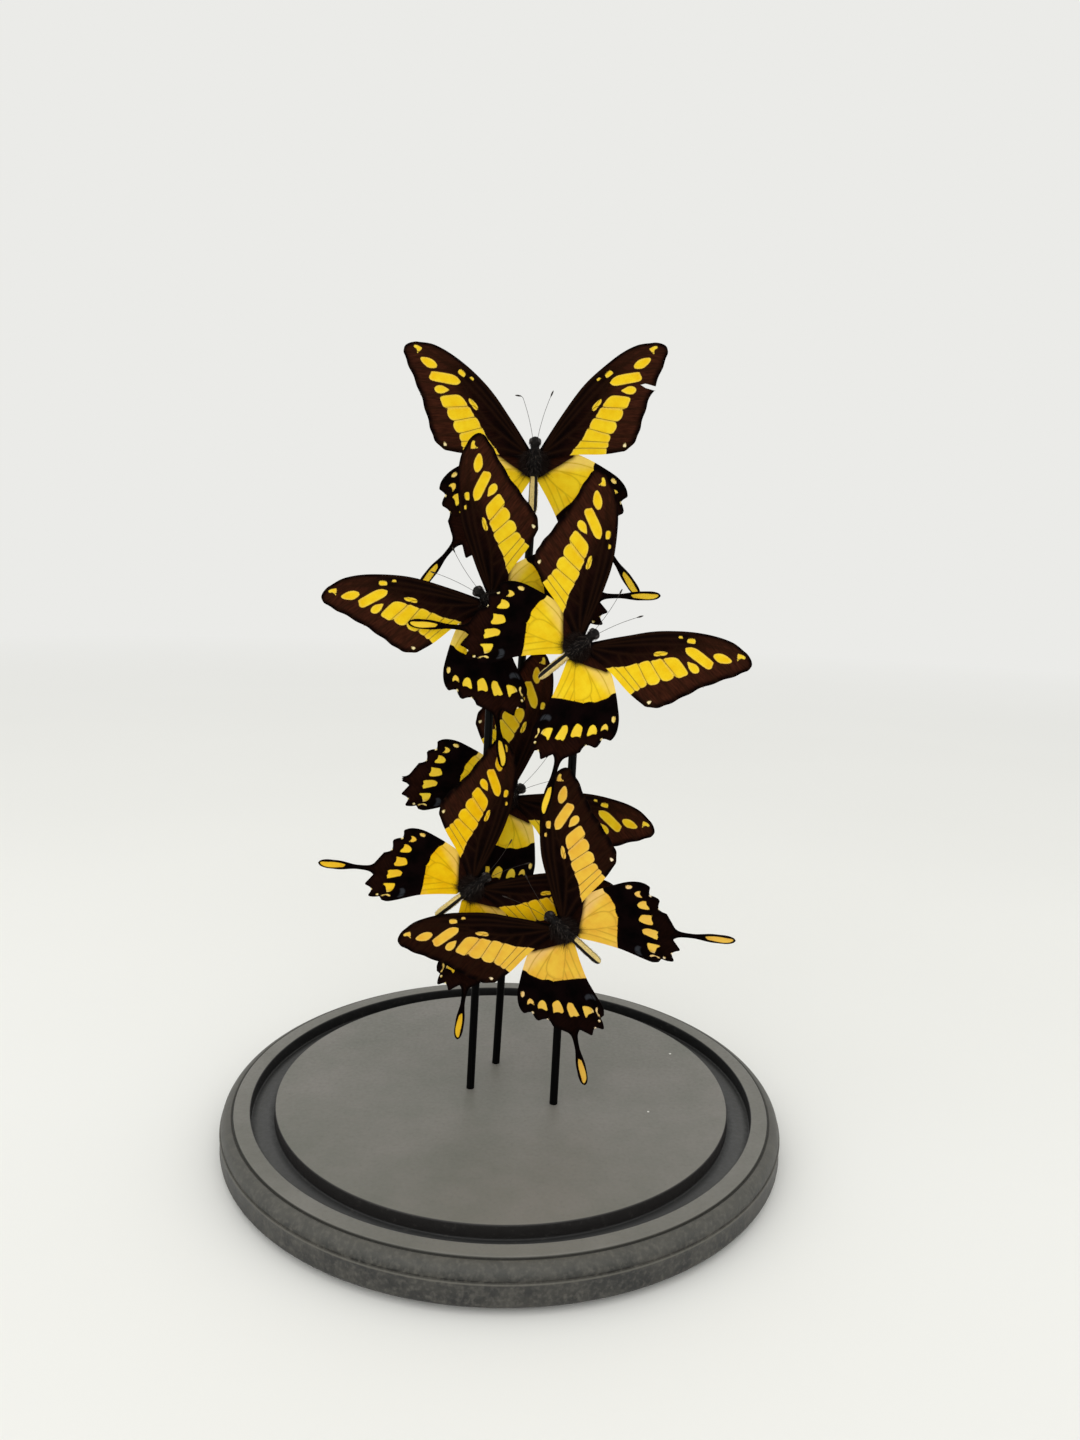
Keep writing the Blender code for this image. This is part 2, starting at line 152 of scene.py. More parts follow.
# The wing's own map takes a field this wide and high, with the hinge at this place in it.
MAP_FIELD = (60.0, 90.0)
MAP_HINGE = (6.0, 45.0)
# A distance that lies far outside any mark.
FAR_OUT = -9.0

# The forewing: leading edge, outer edge and inner edge, each from the end nearer the hinge or head.
FORE_LEADING = [(-1.0, 1.6), (5.9, 12.6), (14.0, 24.0), (23.9, 33.2), (32.0, 38.1), (38.6, 39.4)]
FORE_OUTER = [
    (38.6, 39.4), (42.7, 38.2), (43.2, 34.9), (40.6, 28.2), (37.4, 19.8), (35.2, 11.6),
    (33.3, 5.7), (29.3, 2.0),
]
FORE_INNER = [(-1.0, -1.9), (11.0, 0.4), (22.0, 0.8), (29.3, 2.0)]
# The outer edge's shallow hollows between the veins.
EDGE_WAVE = 0.35
EDGE_WAVES = 8
# The top butterfly's right forewing is torn in from the outer edge at this height, and the vein
# that the tear cuts ends before it.
TORN_WING = "top_forewing_right"
TORN_VEIN_TIP = 26.2
TORN_VEIN_END = 33.0
TEAR_AT = 25.8
TEAR_LENGTH = 6.0
TEAR_WIDTH = 1.5
TEAR_OPENS = 0.35
TEAR_TURNS_BACK = 0.42
TEAR_PULL = 2.4

# The hindwing: its edges in the same way, its teeth, and its tail.
HIND_LEADING = [
    (-0.8, 3.0), (4.0, 6.4), (8.0, 7.4), (12.5, 7.2), (18.3, 5.2), (23.3, 2.9), (27.5, 0.6),
    (30.4, -2.1), (31.9, -4.75),
]
HIND_INNER = [
    (-0.8, -3.2), (3.4, -9.2), (7.1, -15.3), (9.0, -19.7), (10.6, -23.9), (12.0, -27.0), (13.1, -28.2),
]
TEETH_BEFORE_TAIL = [(31.9, -5.5), (31.0, -11.4), (28.9, -17.8)]
TEETH_AFTER_TAIL = [(23.0, -30.2), (17.9, -32.0), (13.4, -28.4)]
TOOTH_WIDTH = 1.2
SCALLOP_DEPTH = 1.7
TAIL_ROOT = (25.8, -24.2)
TAIL_TIP = (39.8, -40.6)
TAIL_ROOT_HALF_WIDTH = 1.5
TAIL_STEM_HALF_WIDTH = 0.85
TAIL_TIP_HALF_WIDTH = 1.75
TAIL_FLARE = 0.06
SPOON_START = 0.3
SPOON_WIDENS = 0.35
SPOON_ROUNDS = 0.8
# How much is left of a broken tail, and below which height its wing has no veins.
BROKEN_TAILS = {("middle", "left"): 0.13}
BROKEN_VEINS_END = -26.0

# Yellow marks of the forewing, from the tip down the band to the inner edge.
FORE_MARKS = {
    "tip": [(36.6, 37.1), (38.2, 38.1), (39.5, 38.3), (39.8, 37.5), (38.7, 36.8), (38.6, 35.3),
            (37.9, 35.7), (37.2, 36.4)],
    "oval": [(31.4, 31.2), (32.4, 32.8), (34.5, 34.0), (37.3, 34.3), (37.6, 33.3), (36.8, 32.0),
             (35.4, 30.7), (33.9, 30.1), (31.8, 30.3)],
    "bar": [(23.1, 25.3), (24.0, 26.8), (26.0, 28.1), (29.0, 28.8), (33.4, 29.4), (34.1, 28.7),
            (34.8, 27.2), (34.1, 26.1), (32.2, 25.5), (29.2, 24.9), (26.2, 24.3), (24.3, 24.4)],
    "edge_spot": [(21.4, 28.0), (22.1, 29.2), (23.3, 29.9), (24.0, 29.7), (24.8, 28.6),
                  (24.3, 28.1), (23.4, 27.5), (22.6, 26.9), (21.9, 27.1)],
    "edge_speck": [(18.7, 26.3), (19.2, 27.0), (19.9, 27.2), (20.2, 26.8), (19.7, 26.1),
                   (19.0, 25.8)],
    "wedge": [(27.2, 22.7), (28.5, 23.6), (30.0, 24.4), (31.7, 24.4), (32.8, 23.6), (32.7, 22.6),
              (32.0, 21.8), (30.9, 21.5), (29.3, 21.7)],
    "cell_spot": [(17.4, 16.1), (17.7, 17.4), (19.0, 18.9), (20.3, 19.9), (20.8, 19.7),
                  (20.7, 18.6), (19.8, 17.3), (18.7, 15.9), (17.9, 15.6)],
    "band_1": [(21.3, 17.2), (22.2, 19.2), (23.3, 20.4), (24.8, 21.1), (27.5, 21.0), (30.2, 20.6),
               (30.8, 19.9), (30.3, 18.4), (29.9, 17.3), (28.8, 16.6), (26.5, 16.6), (23.8, 16.8)],
    "band_2": [(19.0, 13.6), (19.7, 15.2), (20.7, 16.8), (23.8, 16.7), (27.7, 16.4), (28.4, 15.2),
               (28.0, 13.7), (27.3, 12.8), (26.3, 12.3), (24.4, 12.3), (21.7, 12.6)],
    "band_3": [(16.8, 10.3), (17.4, 12.0), (18.7, 13.3), (21.7, 12.7), (25.6, 12.0), (26.3, 10.5),
               (25.7, 9.0), (24.8, 8.1), (23.1, 7.8), (20.7, 8.2), (17.2, 9.4)],
    "band_4": [(14.3, 5.2), (15.0, 7.1), (16.4, 9.8), (18.4, 9.2), (20.7, 8.4), (23.7, 7.6),
               (24.2, 6.5), (23.4, 5.0), (21.3, 4.8), (17.0, 5.0)],
    "band_5": [(12.1, 2.6), (12.8, 3.8), (14.3, 5.6), (17.0, 5.3), (22.8, 5.0), (23.6, 4.4),
               (22.8, 3.0), (17.0, 2.6)],
    "band_6": [(10.4, -0.6), (11.0, 1.5), (12.2, 2.9), (17.0, 2.9), (22.2, 3.1), (23.0, 2.4),
               (22.2, -0.4), (17.0, -0.6)],
}
# A faint cream smudge near the forewing's rear corner.
FORE_SMUDGE = [(28.7, 3.4), (28.9, 4.6), (29.6, 5.1), (30.1, 4.3), (29.8, 3.3)]

# Yellow marks of the hindwing: the field next to the body, the crescents and the tail's spoon.
HIND_FIELD = [
    (-2.0, 3.0), (4.0, 8.0), (12.0, 8.5), (18.9, 6.4), (18.7, 3.6), (18.9, 1.6), (18.2, -1.2),
    (17.6, -3.0), (16.2, -4.6), (15.3, -6.6), (13.6, -8.2), (11.9, -9.9), (9.6, -12.0),
    (8.0, -13.8), (6.2, -15.6), (3.0, -16.0), (-2.0, -4.0),
]
HIND_MARKS = {
    "crescent_1": [(25.3, -1.6), (24.8, -0.7), (25.6, 0.5), (26.7, 0.3), (27.6, -0.6),
                   (28.0, -1.8), (27.0, -2.3), (26.1, -2.2)],
    "crescent_2": [(26.9, -7.2), (25.8, -5.8), (25.6, -4.3), (26.2, -3.6), (27.4, -3.6),
                   (28.5, -4.3), (29.0, -5.1), (27.8, -5.5), (27.6, -6.2), (27.5, -7.2)],
    "crescent_3": [(25.4, -12.0), (23.9, -10.2), (23.3, -8.7), (23.9, -7.5), (25.2, -7.3),
                   (26.7, -7.9), (27.5, -8.9), (26.9, -9.5), (26.5, -10.3), (26.4, -11.3),
                   (25.9, -12.1)],
    "crescent_4": [(22.1, -16.9), (21.0, -15.5), (20.0, -13.4), (20.0, -12.2), (21.5, -11.4),
                   (22.7, -11.5), (23.8, -12.7), (25.2, -14.1), (24.4, -14.7), (23.7, -15.4),
                   (23.3, -16.6), (22.5, -17.2)],
    "crescent_5": [(19.7, -22.2), (18.9, -20.7), (17.9, -18.2), (17.5, -17.1), (18.5, -15.6),
                   (20.4, -16.5), (21.4, -18.0), (22.4, -19.7), (21.9, -20.5), (21.3, -20.7),
                   (20.8, -21.7)],
    "crescent_6": [(15.3, -25.6), (14.5, -23.0), (16.2, -20.4), (17.6, -21.9), (18.4, -23.0),
                   (19.3, -24.6), (18.3, -24.8), (17.3, -24.6)],
    "crescent_7": [(12.8, -25.5), (13.4, -24.5), (14.6, -25.0), (15.3, -26.4), (15.8, -27.4),
                   (15.3, -28.3), (14.6, -27.6), (14.4, -26.4)],
    "spoon": [(33.2, -32.4), (34.4, -33.2), (36.2, -35.0), (38.0, -37.4), (39.4, -39.4),
              (39.0, -40.0), (37.4, -39.4), (35.6, -37.6), (34.0, -35.2), (33.0, -33.4)],
}
# The sooty root of the hindwing, in front of the field.
HIND_BASE = [
    (-4.0, 9.0), (10.5, 7.0), (9.0, 4.6), (5.4, 1.9), (3.2, 0.4), (1.7, -0.6), (0.2, -1.8),
    (-4.0, -3.0),
]
# How far the edges of these marks are drawn in, millimetres.
DRAWN_IN = {
    "tip": 0.1, "oval": 0.2, "bar": 0.22, "edge_spot": 0.2, "wedge": 0.12, "cell_spot": 0.1,
    "crescent_1": 0.5, "crescent_2": 0.38, "crescent_3": 0.25, "crescent_4": 0.24,
    "crescent_5": 0.22, "crescent_6": 0.28, "crescent_7": 0.3,
}
# The grey-blue crescent near the hindwing's inner edge.
HIND_BLUE = [
    (13.4, -19.0), (11.8, -18.8), (10.6, -20.0), (10.4, -21.6), (11.4, -23.2), (11.9, -21.9),
    (12.6, -20.9), (13.8, -20.2),
]

# The veins, each from the hinge outwards.
FORE_VEINS = [
    [(1, 2.4), (7.2, 13.4), (15.2, 24.6), (21.6, 30.6)],
    [(1, 2.0), (8.0, 12.2), (16.0, 22.2), (24.0, 30.6), (30.0, 36.4)],
    [(1, 1.6), (8.5, 10.6), (15.5, 18.8), (20.5, 24.0), (28.0, 32.6), (34.2, 38.4)],
    [(20.5, 24.0), (26.0, 30.0), (33.0, 35.4), (39.6, 39.0)],
    [(20.8, 24.2), (26.0, 29.2), (33.0, 34.6), (42.8, 36.8)],
    [(21.4, 22.6), (26.0, 28.6), (33.0, 29.9), (41.8, 31.2)],
    [(20.5, 24.0), (21.4, 22.6), (20.8, 20.8), (18.6, 17.4)],
    [(20.9, 20.8), (26.0, 24.3), (33.5, 25.3), (39.6, 26.2)],
    [(20.6, 20.6), (23.2, 21.3), (30.6, 21.1), (37.8, 21.2)],
    [(1, 1.0), (8.0, 6.2), (14.0, 11.6), (18.6, 17.0), (23.0, 17.0), (30.0, 16.8), (36.4, 16.4)],
    [(15.6, 13.0), (19.0, 13.3), (26.2, 12.2), (35.0, 11.6)],
    [(11.0, 9.0), (16.2, 9.6), (24.0, 7.9), (33.6, 7.2)],
    [(9.0, 6.8), (13.0, 5.5), (23.0, 5.0), (32.0, 4.4)],
    [(1, 0.2), (11.0, 2.6), (22.0, 2.9), (30.4, 2.8)],
]
HIND_VEINS = [
    [(1, 1.2), (5.0, 3.2), (12.0, 4.0), (20.0, 2.4), (26.6, -0.6), (30.4, -2.4)],
    [(1, 0.8), (7.0, 0.8), (14.0, 0.0), (22.0, -1.6), (27.0, -3.2), (31.7, -5.5)],
    [(14.4, -3.0), (22.0, -5.6), (26.5, -7.8), (30.7, -11.3)],
    [(7.0, 0.8), (12.0, -0.8), (14.4, -3.0), (14.4, -6.0), (12.6, -8.6)],
    [(14.4, -6.0), (20.0, -9.4), (24.2, -12.3), (28.6, -17.6)],
    [(12.6, -8.6), (17.0, -12.4), (21.3, -16.9), (25.8, -24.2), (30.6, -29.8), (34.0, -33.8)],
    [(1, -0.4), (6.0, -4.4), (12.6, -8.6)],
    [(9.6, -6.8), (14.5, -14.3), (18.4, -21.2), (22.9, -29.8)],
    [(6.0, -4.4), (11.5, -15.0), (15.5, -24.4), (17.9, -31.6)],
    [(1, -1.4), (5.0, -7.6), (9.4, -16.0), (12.1, -23.5), (13.4, -28.0)],
]

VEINS = {"fore": FORE_VEINS, "hind": HIND_VEINS}
# A vein's radius at its root and at its end, and how dark it is.
VEIN_RADII = (0.19, 0.125)
VEIN_SIDES = 6
VEIN_DARK = {"fore": 0.75, "hind": 0.27}

# The body: place along the axis, half width, half depth and middle above the wings, millimetres.
BODY_STATIONS = [
    (9.6, 0.3, 0.3, -0.2), (9.3, 1.1, 1.0, -0.2), (8.4, 1.7, 1.5, -0.2), (7.4, 1.9, 1.6, -0.2),
    (6.4, 1.5, 1.4, -0.2), (5.7, 1.4, 1.3, -0.2), (4.9, 1.9, 1.9, -0.2), (3.0, 2.4, 2.3, -0.2),
    (0.0, 2.5, 2.5, -0.2), (-3.2, 1.9, 2.2, -0.3), (-4.9, 1.35, 1.4, -0.4),
    (-7.5, 1.5, 1.5, -0.5), (-11.5, 1.5, 1.5, -0.6), (-15.0, 1.45, 1.4, -0.8),
    (-16.8, 1.05, 1.0, -0.9), (-17.5, 0.35, 0.35, -0.9),
]
WAIST = -4.9
ABDOMEN_END = -17.5
ABDOMEN_RINGS = 8
BODY_SIDES = 28
EYE_PLACE = (1.35, 8.0, 0.1)
EYE_RADII = (0.85, 1.05, 1.05)
GLUE_PLACE = (0.0, 0.0, -3.2)
GLUE_RADII = (1.5, 2.2, 1.3)
# Rows and columns of a drop or an eye, and of a crumb.
DROP_GRID = (17, 24)
CRUMB_GRID = (9, 12)

# The hair of the thorax, the head and the abdomen: which part of the hairs, from where to where
# along the body, the length as a share of the thorax's, the radius and the share of grey hairs.
BODY_HAIR = [
    (1, 5.6, -3.4, 1.0, 0.055, 0.16), (3, 9.2, 5.6, 0.42, 0.04, 0.1),
    (3, -3.6, -17.0, 0.3, 0.03, 0.1),
]
# A hair bends by this much at random, and sags back by this much.
HAIR_BEND = 0.15
HAIR_SAG = 0.3
# The hair over the wing roots: which part of the hairs, where it starts on the thorax, its lengths
# and its thickness.
ROOT_HAIR_PART = 4
ROOT_HAIR_FROM_TO = (-2.8, 4.4)
ROOT_HAIR_START = 1.7
ROOT_HAIR_HEIGHTS = (0.1, 1.1)
ROOT_HAIR_LENGTHS = (1.6, 4.9)
ROOT_HAIR_RADIUS = 0.045

# A leg: points out, forward and up, and where along the body each pair starts.
LEG_POINTS = [(1.2, 0.0, -2.0), (4.6, -1.6, -2.2), (3.4, -6.4, -2.4), (4.3, -9.6, -2.5)]
LEG_RADII = [0.34, 0.3, 0.2, 0.1]
LEG_STARTS = [3.6, 1.0, -1.6]
LEG_SPREAD = [0.7, 1.0, 1.35]
LEG_STEPS = 46
LEG_JOINTS = (0.33, 0.66)
JOINT_SWELLS = 0.25

# An antenna: where it starts, its length, its splay, bend and rise, and its club.
ANTENNA_START = (0.9, 9.0, 0.6)
ANTENNA_LENGTH = 17.0
ANTENNA_SPLAY = math.radians(17)
ANTENNA_BEND = math.radians(7)
ANTENNA_RISE = math.radians(5)
ANTENNA_RADIUS = 0.08
ANTENNA_STEPS = 60
ANTENNA_RINGS = 30
CLUB_RADIUS = 0.3
CLUB_LENGTH = 2.6
FINE_SIDES = 8
# The top butterfly's left antenna ends in a hook that turns outwards.
ANTENNA_HOOKS = {("top", "left"): math.radians(62)}

# Faces that meet at more than this angle keep a sharp edge.
SHARP_FROM = math.radians(40)

# The stage: half the floor's width, what the lamps are turned to, and each lamp's place, size and
# share of the light.
FLOOR_HALF = 6.0
LAMPS_LOOK_AT = (0.0, 0.0, 0.12)
LAMPS = {
    "overhead": ((-0.25, -0.35, 1.15), 2.0, 0.8), "window": ((-0.22, -1.42, 0.45), 2.2, 3.5),
    "left": ((-1.1, -0.35, 0.42), 1.0, 0.35), "right": ((1.1, -0.35, 0.42), 1.0, 0.35),
}


# Small tools for arrays.

def curve_through(points, steps):
    """A smooth curve through the points: on each stretch the cubic that leaves and arrives along
    the line between the neighbours of its ends, at equal steps of its parameter."""
    p = np.asarray(points, float)
    padded = np.vstack([2 * p[0] - p[1], p, 2 * p[-1] - p[-2]])
    a, b, c, d = (padded[k:k + len(p) - 1, None] for k in range(4))
    t = (np.arange(steps) / steps)[None, :, None]
    found = 0.5 * (2 * b + (c - a) * t + (2 * a - 5 * b + 4 * c - d) * t ** 2
                   + (3 * b - a - 3 * c + d) * t ** 3)
    return np.vstack([found.reshape(-1, p.shape[1]), p[-1:]])


def spaced(points, count):
    """The same path with count points at equal distances along it."""
    p = np.asarray(points, float)
    run = np.concatenate([[0], np.cumsum(np.linalg.norm(np.diff(p, axis=0), axis=1))])
    want = np.linspace(0, run[-1], count)
    return np.column_stack([np.interp(want, run, p[:, k]) for k in range(p.shape[1])])


def closed_curve(points, steps=6):
    """A smooth closed curve through the points, as curve_through makes it."""
    p = np.asarray(points, float)
    ring = curve_through(np.vstack([p[-2:], p, p[:2]]), steps)
    return ring[steps * 2:-steps * 2]


def signed_distance(points, outline):
    """Each point's distance to a closed outline, positive inside: the nearest point of any edge,
    and inside where a line to the right crosses the edges an odd number of times."""
    a = outline[None]
    b = np.roll(outline, -1, axis=0)[None]
    p = points[:, None]
    edge = b - a
    along = np.clip(((p - a) * edge).sum(2) / np.maximum((edge ** 2).sum(2), 1e-12), 0, 1)
    near = np.sqrt((((p - a) - edge * along[..., None]) ** 2).sum(2)).min(1)
    over = (a[..., 1] > p[..., 1]) != (b[..., 1] > p[..., 1])
    rise = np.where(np.abs(edge[..., 1]) < 1e-12, 1e-12, edge[..., 1])
    cross = a[..., 0] + (p[..., 1] - a[..., 1]) * edge[..., 0] / rise
    inside = ((over & (cross > p[..., 0])).sum(1) % 2) == 1
    return np.where(inside, near, -near)


def path_distance(points, path):
    """Each point's distance to an open path."""
    a, b = path[None, :-1], path[None, 1:]
    p = points[:, None]
    edge = b - a
    along = np.clip(((p - a) * edge).sum(2) / np.maximum((edge ** 2).sum(2), 1e-12), 0, 1)
    return np.sqrt((((p - a) - edge * along[..., None]) ** 2).sum(2)).min(1)


def smooth_step(value, low, high):
    """0 below low, 1 above high, and an even S between."""
    t = np.clip((value - low) / (high - low), 0, 1)
    return t * t * (3 - 2 * t)


# Shapes: points, faces and the values that the materials read.

def quads_of(index):
    """The faces between the rows and columns of a grid of point numbers."""
    a, b, c, d = index[:-1, :-1], index[1:, :-1], index[1:, 1:], index[:-1, 1:]
    return np.stack([a, d, c, b], axis=-1).reshape(-1, 4)


def ring_faces(rows, columns):
    """The faces of a skin whose rows are closed rings, and of the cap at each end, which meets in
    one more point. Those two points come after the rings."""
    index = np.arange(rows * columns).reshape(rows, columns)
    index = np.hstack([index, index[:, :1]])
    first = np.full(columns, rows * columns)
    return [
        quads_of(index)[:, ::-1],
        np.column_stack([first, index[0, :-1], index[0, 1:]]),
        np.column_stack([first + 1, index[-1, 1:], index[-1, :-1]]),
    ]


def new_shape(points, faces, **values):
    """A shape: points in an array, a list of face arrays, and one number per point for each name."""
    return {"points": np.asarray(points, float), "faces": [f for f in faces if len(f)], "values": values}


def join(shapes):
    """Several shapes as one. A value that a shape lacks is 0 there."""
    names = sorted({name for s in shapes for name in s["values"]})
    starts = np.cumsum([0] + [len(s["points"]) for s in shapes])
    values = {
        name: np.concatenate([
            np.broadcast_to(s["values"].get(name, 0.0), len(s["points"])) for s in shapes
        ])
        for name in names
    }
    faces = [f + start for s, start in zip(shapes, starts) for f in s["faces"]]
    return new_shape(np.vstack([s["points"] for s in shapes]), faces, **values)


def flipped(shape):
    """The same shape with its faces turned round."""
    return {**shape, "faces": [f[:, ::-1] for f in shape["faces"]]}


def moved(shape, matrix):
    """The shape put in place by a matrix, after its millimetres are turned to metres."""
    m = np.array(matrix)
    points = shape["points"] * MM @ m[:3, :3].T + m[:3, 3]
    return {**shape, "points": points}


def tube(path, radii, sides, **values):
    """A round skin along a path: at each point a circle square to the path, closed by a cap of
    one more point at each end."""
    p = np.asarray(path, float)
    along = np.gradient(p, axis=0)
    along /= np.linalg.norm(along, axis=1, keepdims=True)
    up = np.tile([0.0, 0.0, 1.0], (len(p), 1))
    up[np.abs(along[:, 2]) > 0.95] = (1.0, 0.0, 0.0)
    across = np.cross(along, up)
    across /= np.linalg.norm(across, axis=1, keepdims=True)
    up = np.cross(across, along)
    turn = np.linspace(0, 2 * math.pi, sides, endpoint=False)
    ring = across[:, None] * np.cos(turn)[None, :, None] + up[:, None] * np.sin(turn)[None, :, None]
    points = p[:, None] + ring * np.asarray(radii, float)[:, None, None]
    made = np.vstack([points.reshape(-1, 3), p[:1], p[-1:]])
    spread = {
        name: np.concatenate([np.repeat(np.broadcast_to(v, len(p)), sides),
                              np.broadcast_to(v, len(p))[[0, -1]]])
        for name, v in values.items()
    }
    return new_shape(made, ring_faces(len(p), sides), **spread)


def lathe(profile, steps):
    """A turned solid: the profile's radius and height carried round the upright axis. It starts
    and ends on the axis, where the faces meet in one point."""
    p = np.asarray(profile, float)
    turn = np.linspace(0, 2 * math.pi, steps, endpoint=False)
    inner = p[1:-1]
    ring = np.stack([
        inner[:, None, 0] * np.cos(turn), inner[:, None, 0] * np.sin(turn),
        np.repeat(inner[:, 1:2], steps, axis=1),
    ], axis=-1)
    ends = [(0, 0, p[0, 1]), (0, 0, p[-1, 1])]
    return new_shape(np.vstack([ring.reshape(-1, 3), ends]), ring_faces(len(inner), steps))


def rounded(corners, radii, steps=5):
    """A path whose corners are turned into short arcs: the quadratic curve that starts and ends
    one radius before and after the corner."""
    p = np.asarray(corners, float)
    found = [p[:1]]
    t = np.linspace(0, 1, steps)[:, None]
    for k in range(1, len(p) - 1):
        back, on = p[k - 1] - p[k], p[k + 1] - p[k]
        reach = min(radii[k], 0.45 * np.linalg.norm(back), 0.45 * np.linalg.norm(on))
        if reach < 1e-6:
            found.append(p[k:k + 1])
            continue
        start = p[k] + back / np.linalg.norm(back) * reach
        end = p[k] + on / np.linalg.norm(on) * reach
        found.append(start * (1 - t) ** 2 + p[k] * 2 * t * (1 - t) + end * t ** 2)
    return np.vstack([*found, p[-1:]])


def ball(middle, radii, rows, columns, **values):
    """An ellipsoid: circles of latitude between two poles."""
    tilt = np.linspace(0, math.pi, rows)
    shape = lathe(np.column_stack([np.sin(tilt), np.cos(tilt)]), columns)
    points = shape["points"] * radii + middle
    return new_shape(points, shape["faces"], **values)


# Pieces.

def make_piece(name, shapes, material, replaced):
    """Puts joined shapes, in metres, into one object that rides on the root and stands for CAD nodes."""
    shape = join(shapes)
    mesh = bpy.data.meshes.new(name)
    mesh.vertices.add(len(shape["points"]))
    mesh.vertices.foreach_set("co", shape["points"].astype(np.float32).ravel())
    corners = np.concatenate([f.ravel() for f in shape["faces"]])
    sizes = np.concatenate([np.full(len(f), f.shape[1]) for f in shape["faces"]])
    mesh.loops.add(len(corners))
    mesh.loops.foreach_set("vertex_index", corners.astype(np.int32))
    mesh.polygons.add(len(sizes))
    starts = np.concatenate([[0], np.cumsum(sizes)[:-1]])
    mesh.polygons.foreach_set("loop_start", starts.astype(np.int32))
    mesh.update(calc_edges=True)
    for value, numbers in shape["values"].items():
        if value in ("u", "v"):
            continue
        layer = mesh.attributes.new(value, "FLOAT", "POINT")
        layer.data.foreach_set("value", numbers.astype(np.float32))
    if "u" in shape["values"]:
        flat = np.column_stack([shape["values"]["u"], shape["values"]["v"]])[corners]
        mesh.uv_layers.new(name="wing").data.foreach_set("uv", flat.astype(np.float32).ravel())
    mesh.materials.append(material)
    mesh.shade_smooth()
    mesh.set_sharp_from_angle(angle=SHARP_FROM)
    piece = bpy.data.objects.new(name, mesh)
    bpy.context.scene.collection.objects.link(piece)
    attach(piece, "root")
    if replaced:
        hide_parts(*replaced)


# Materials.

def linear(colour):
    """An sRGB hex colour as linear red, green, blue and alpha."""
    parts = [int(colour[k:k + 2], 16) / 255 for k in (1, 3, 5)]
    return (*[c / 12.92 if c <= 0.04045 else ((c + 0.055) / 1.055) ** 2.4 for c in parts], 1.0)


def add_node(tree, kind, inputs, output=0, stops=(), **settings):
    """Adds a node with its settings and gives one of its outputs. Each input is a number, a hex
    colour or another node's output, and stops are a colour ramp's places and hex colours."""
    node = tree.nodes.new(f"ShaderNode{kind}")
    for name, setting in settings.items():
        setattr(node, name, setting)
    for name, item in inputs.items():
        if isinstance(item, bpy.types.NodeSocket):
            tree.links.new(item, node.inputs[name])
        else:
            node.inputs[name].default_value = linear(item) if isinstance(item, str) else item
    for k, (place, colour) in enumerate(stops):
        if k > 1:
            node.color_ramp.elements.new(place)
        node.color_ramp.elements[k].position = place
        node.color_ramp.elements[k].color = linear(colour)
    return node.outputs[output]


def start_material(name, **sockets):
    """A new material, its node tree and its shader, with the sockets that are the same all over."""
    material = bpy.data.materials.new(name)
    material.use_nodes = True
    shader = material.node_tree.nodes["Principled BSDF"]
    for socket, value in sockets.items():
        shader.inputs[socket.replace("_", " ")].default_value = value
    return material, material.node_tree, shader


def finish_material(tree, shader, **outputs):
    """Links the shader's sockets to the outputs that vary over the surface."""
    for socket, output in outputs.items():
        tree.links.new(output, shader.inputs[socket.replace("_", " ")])


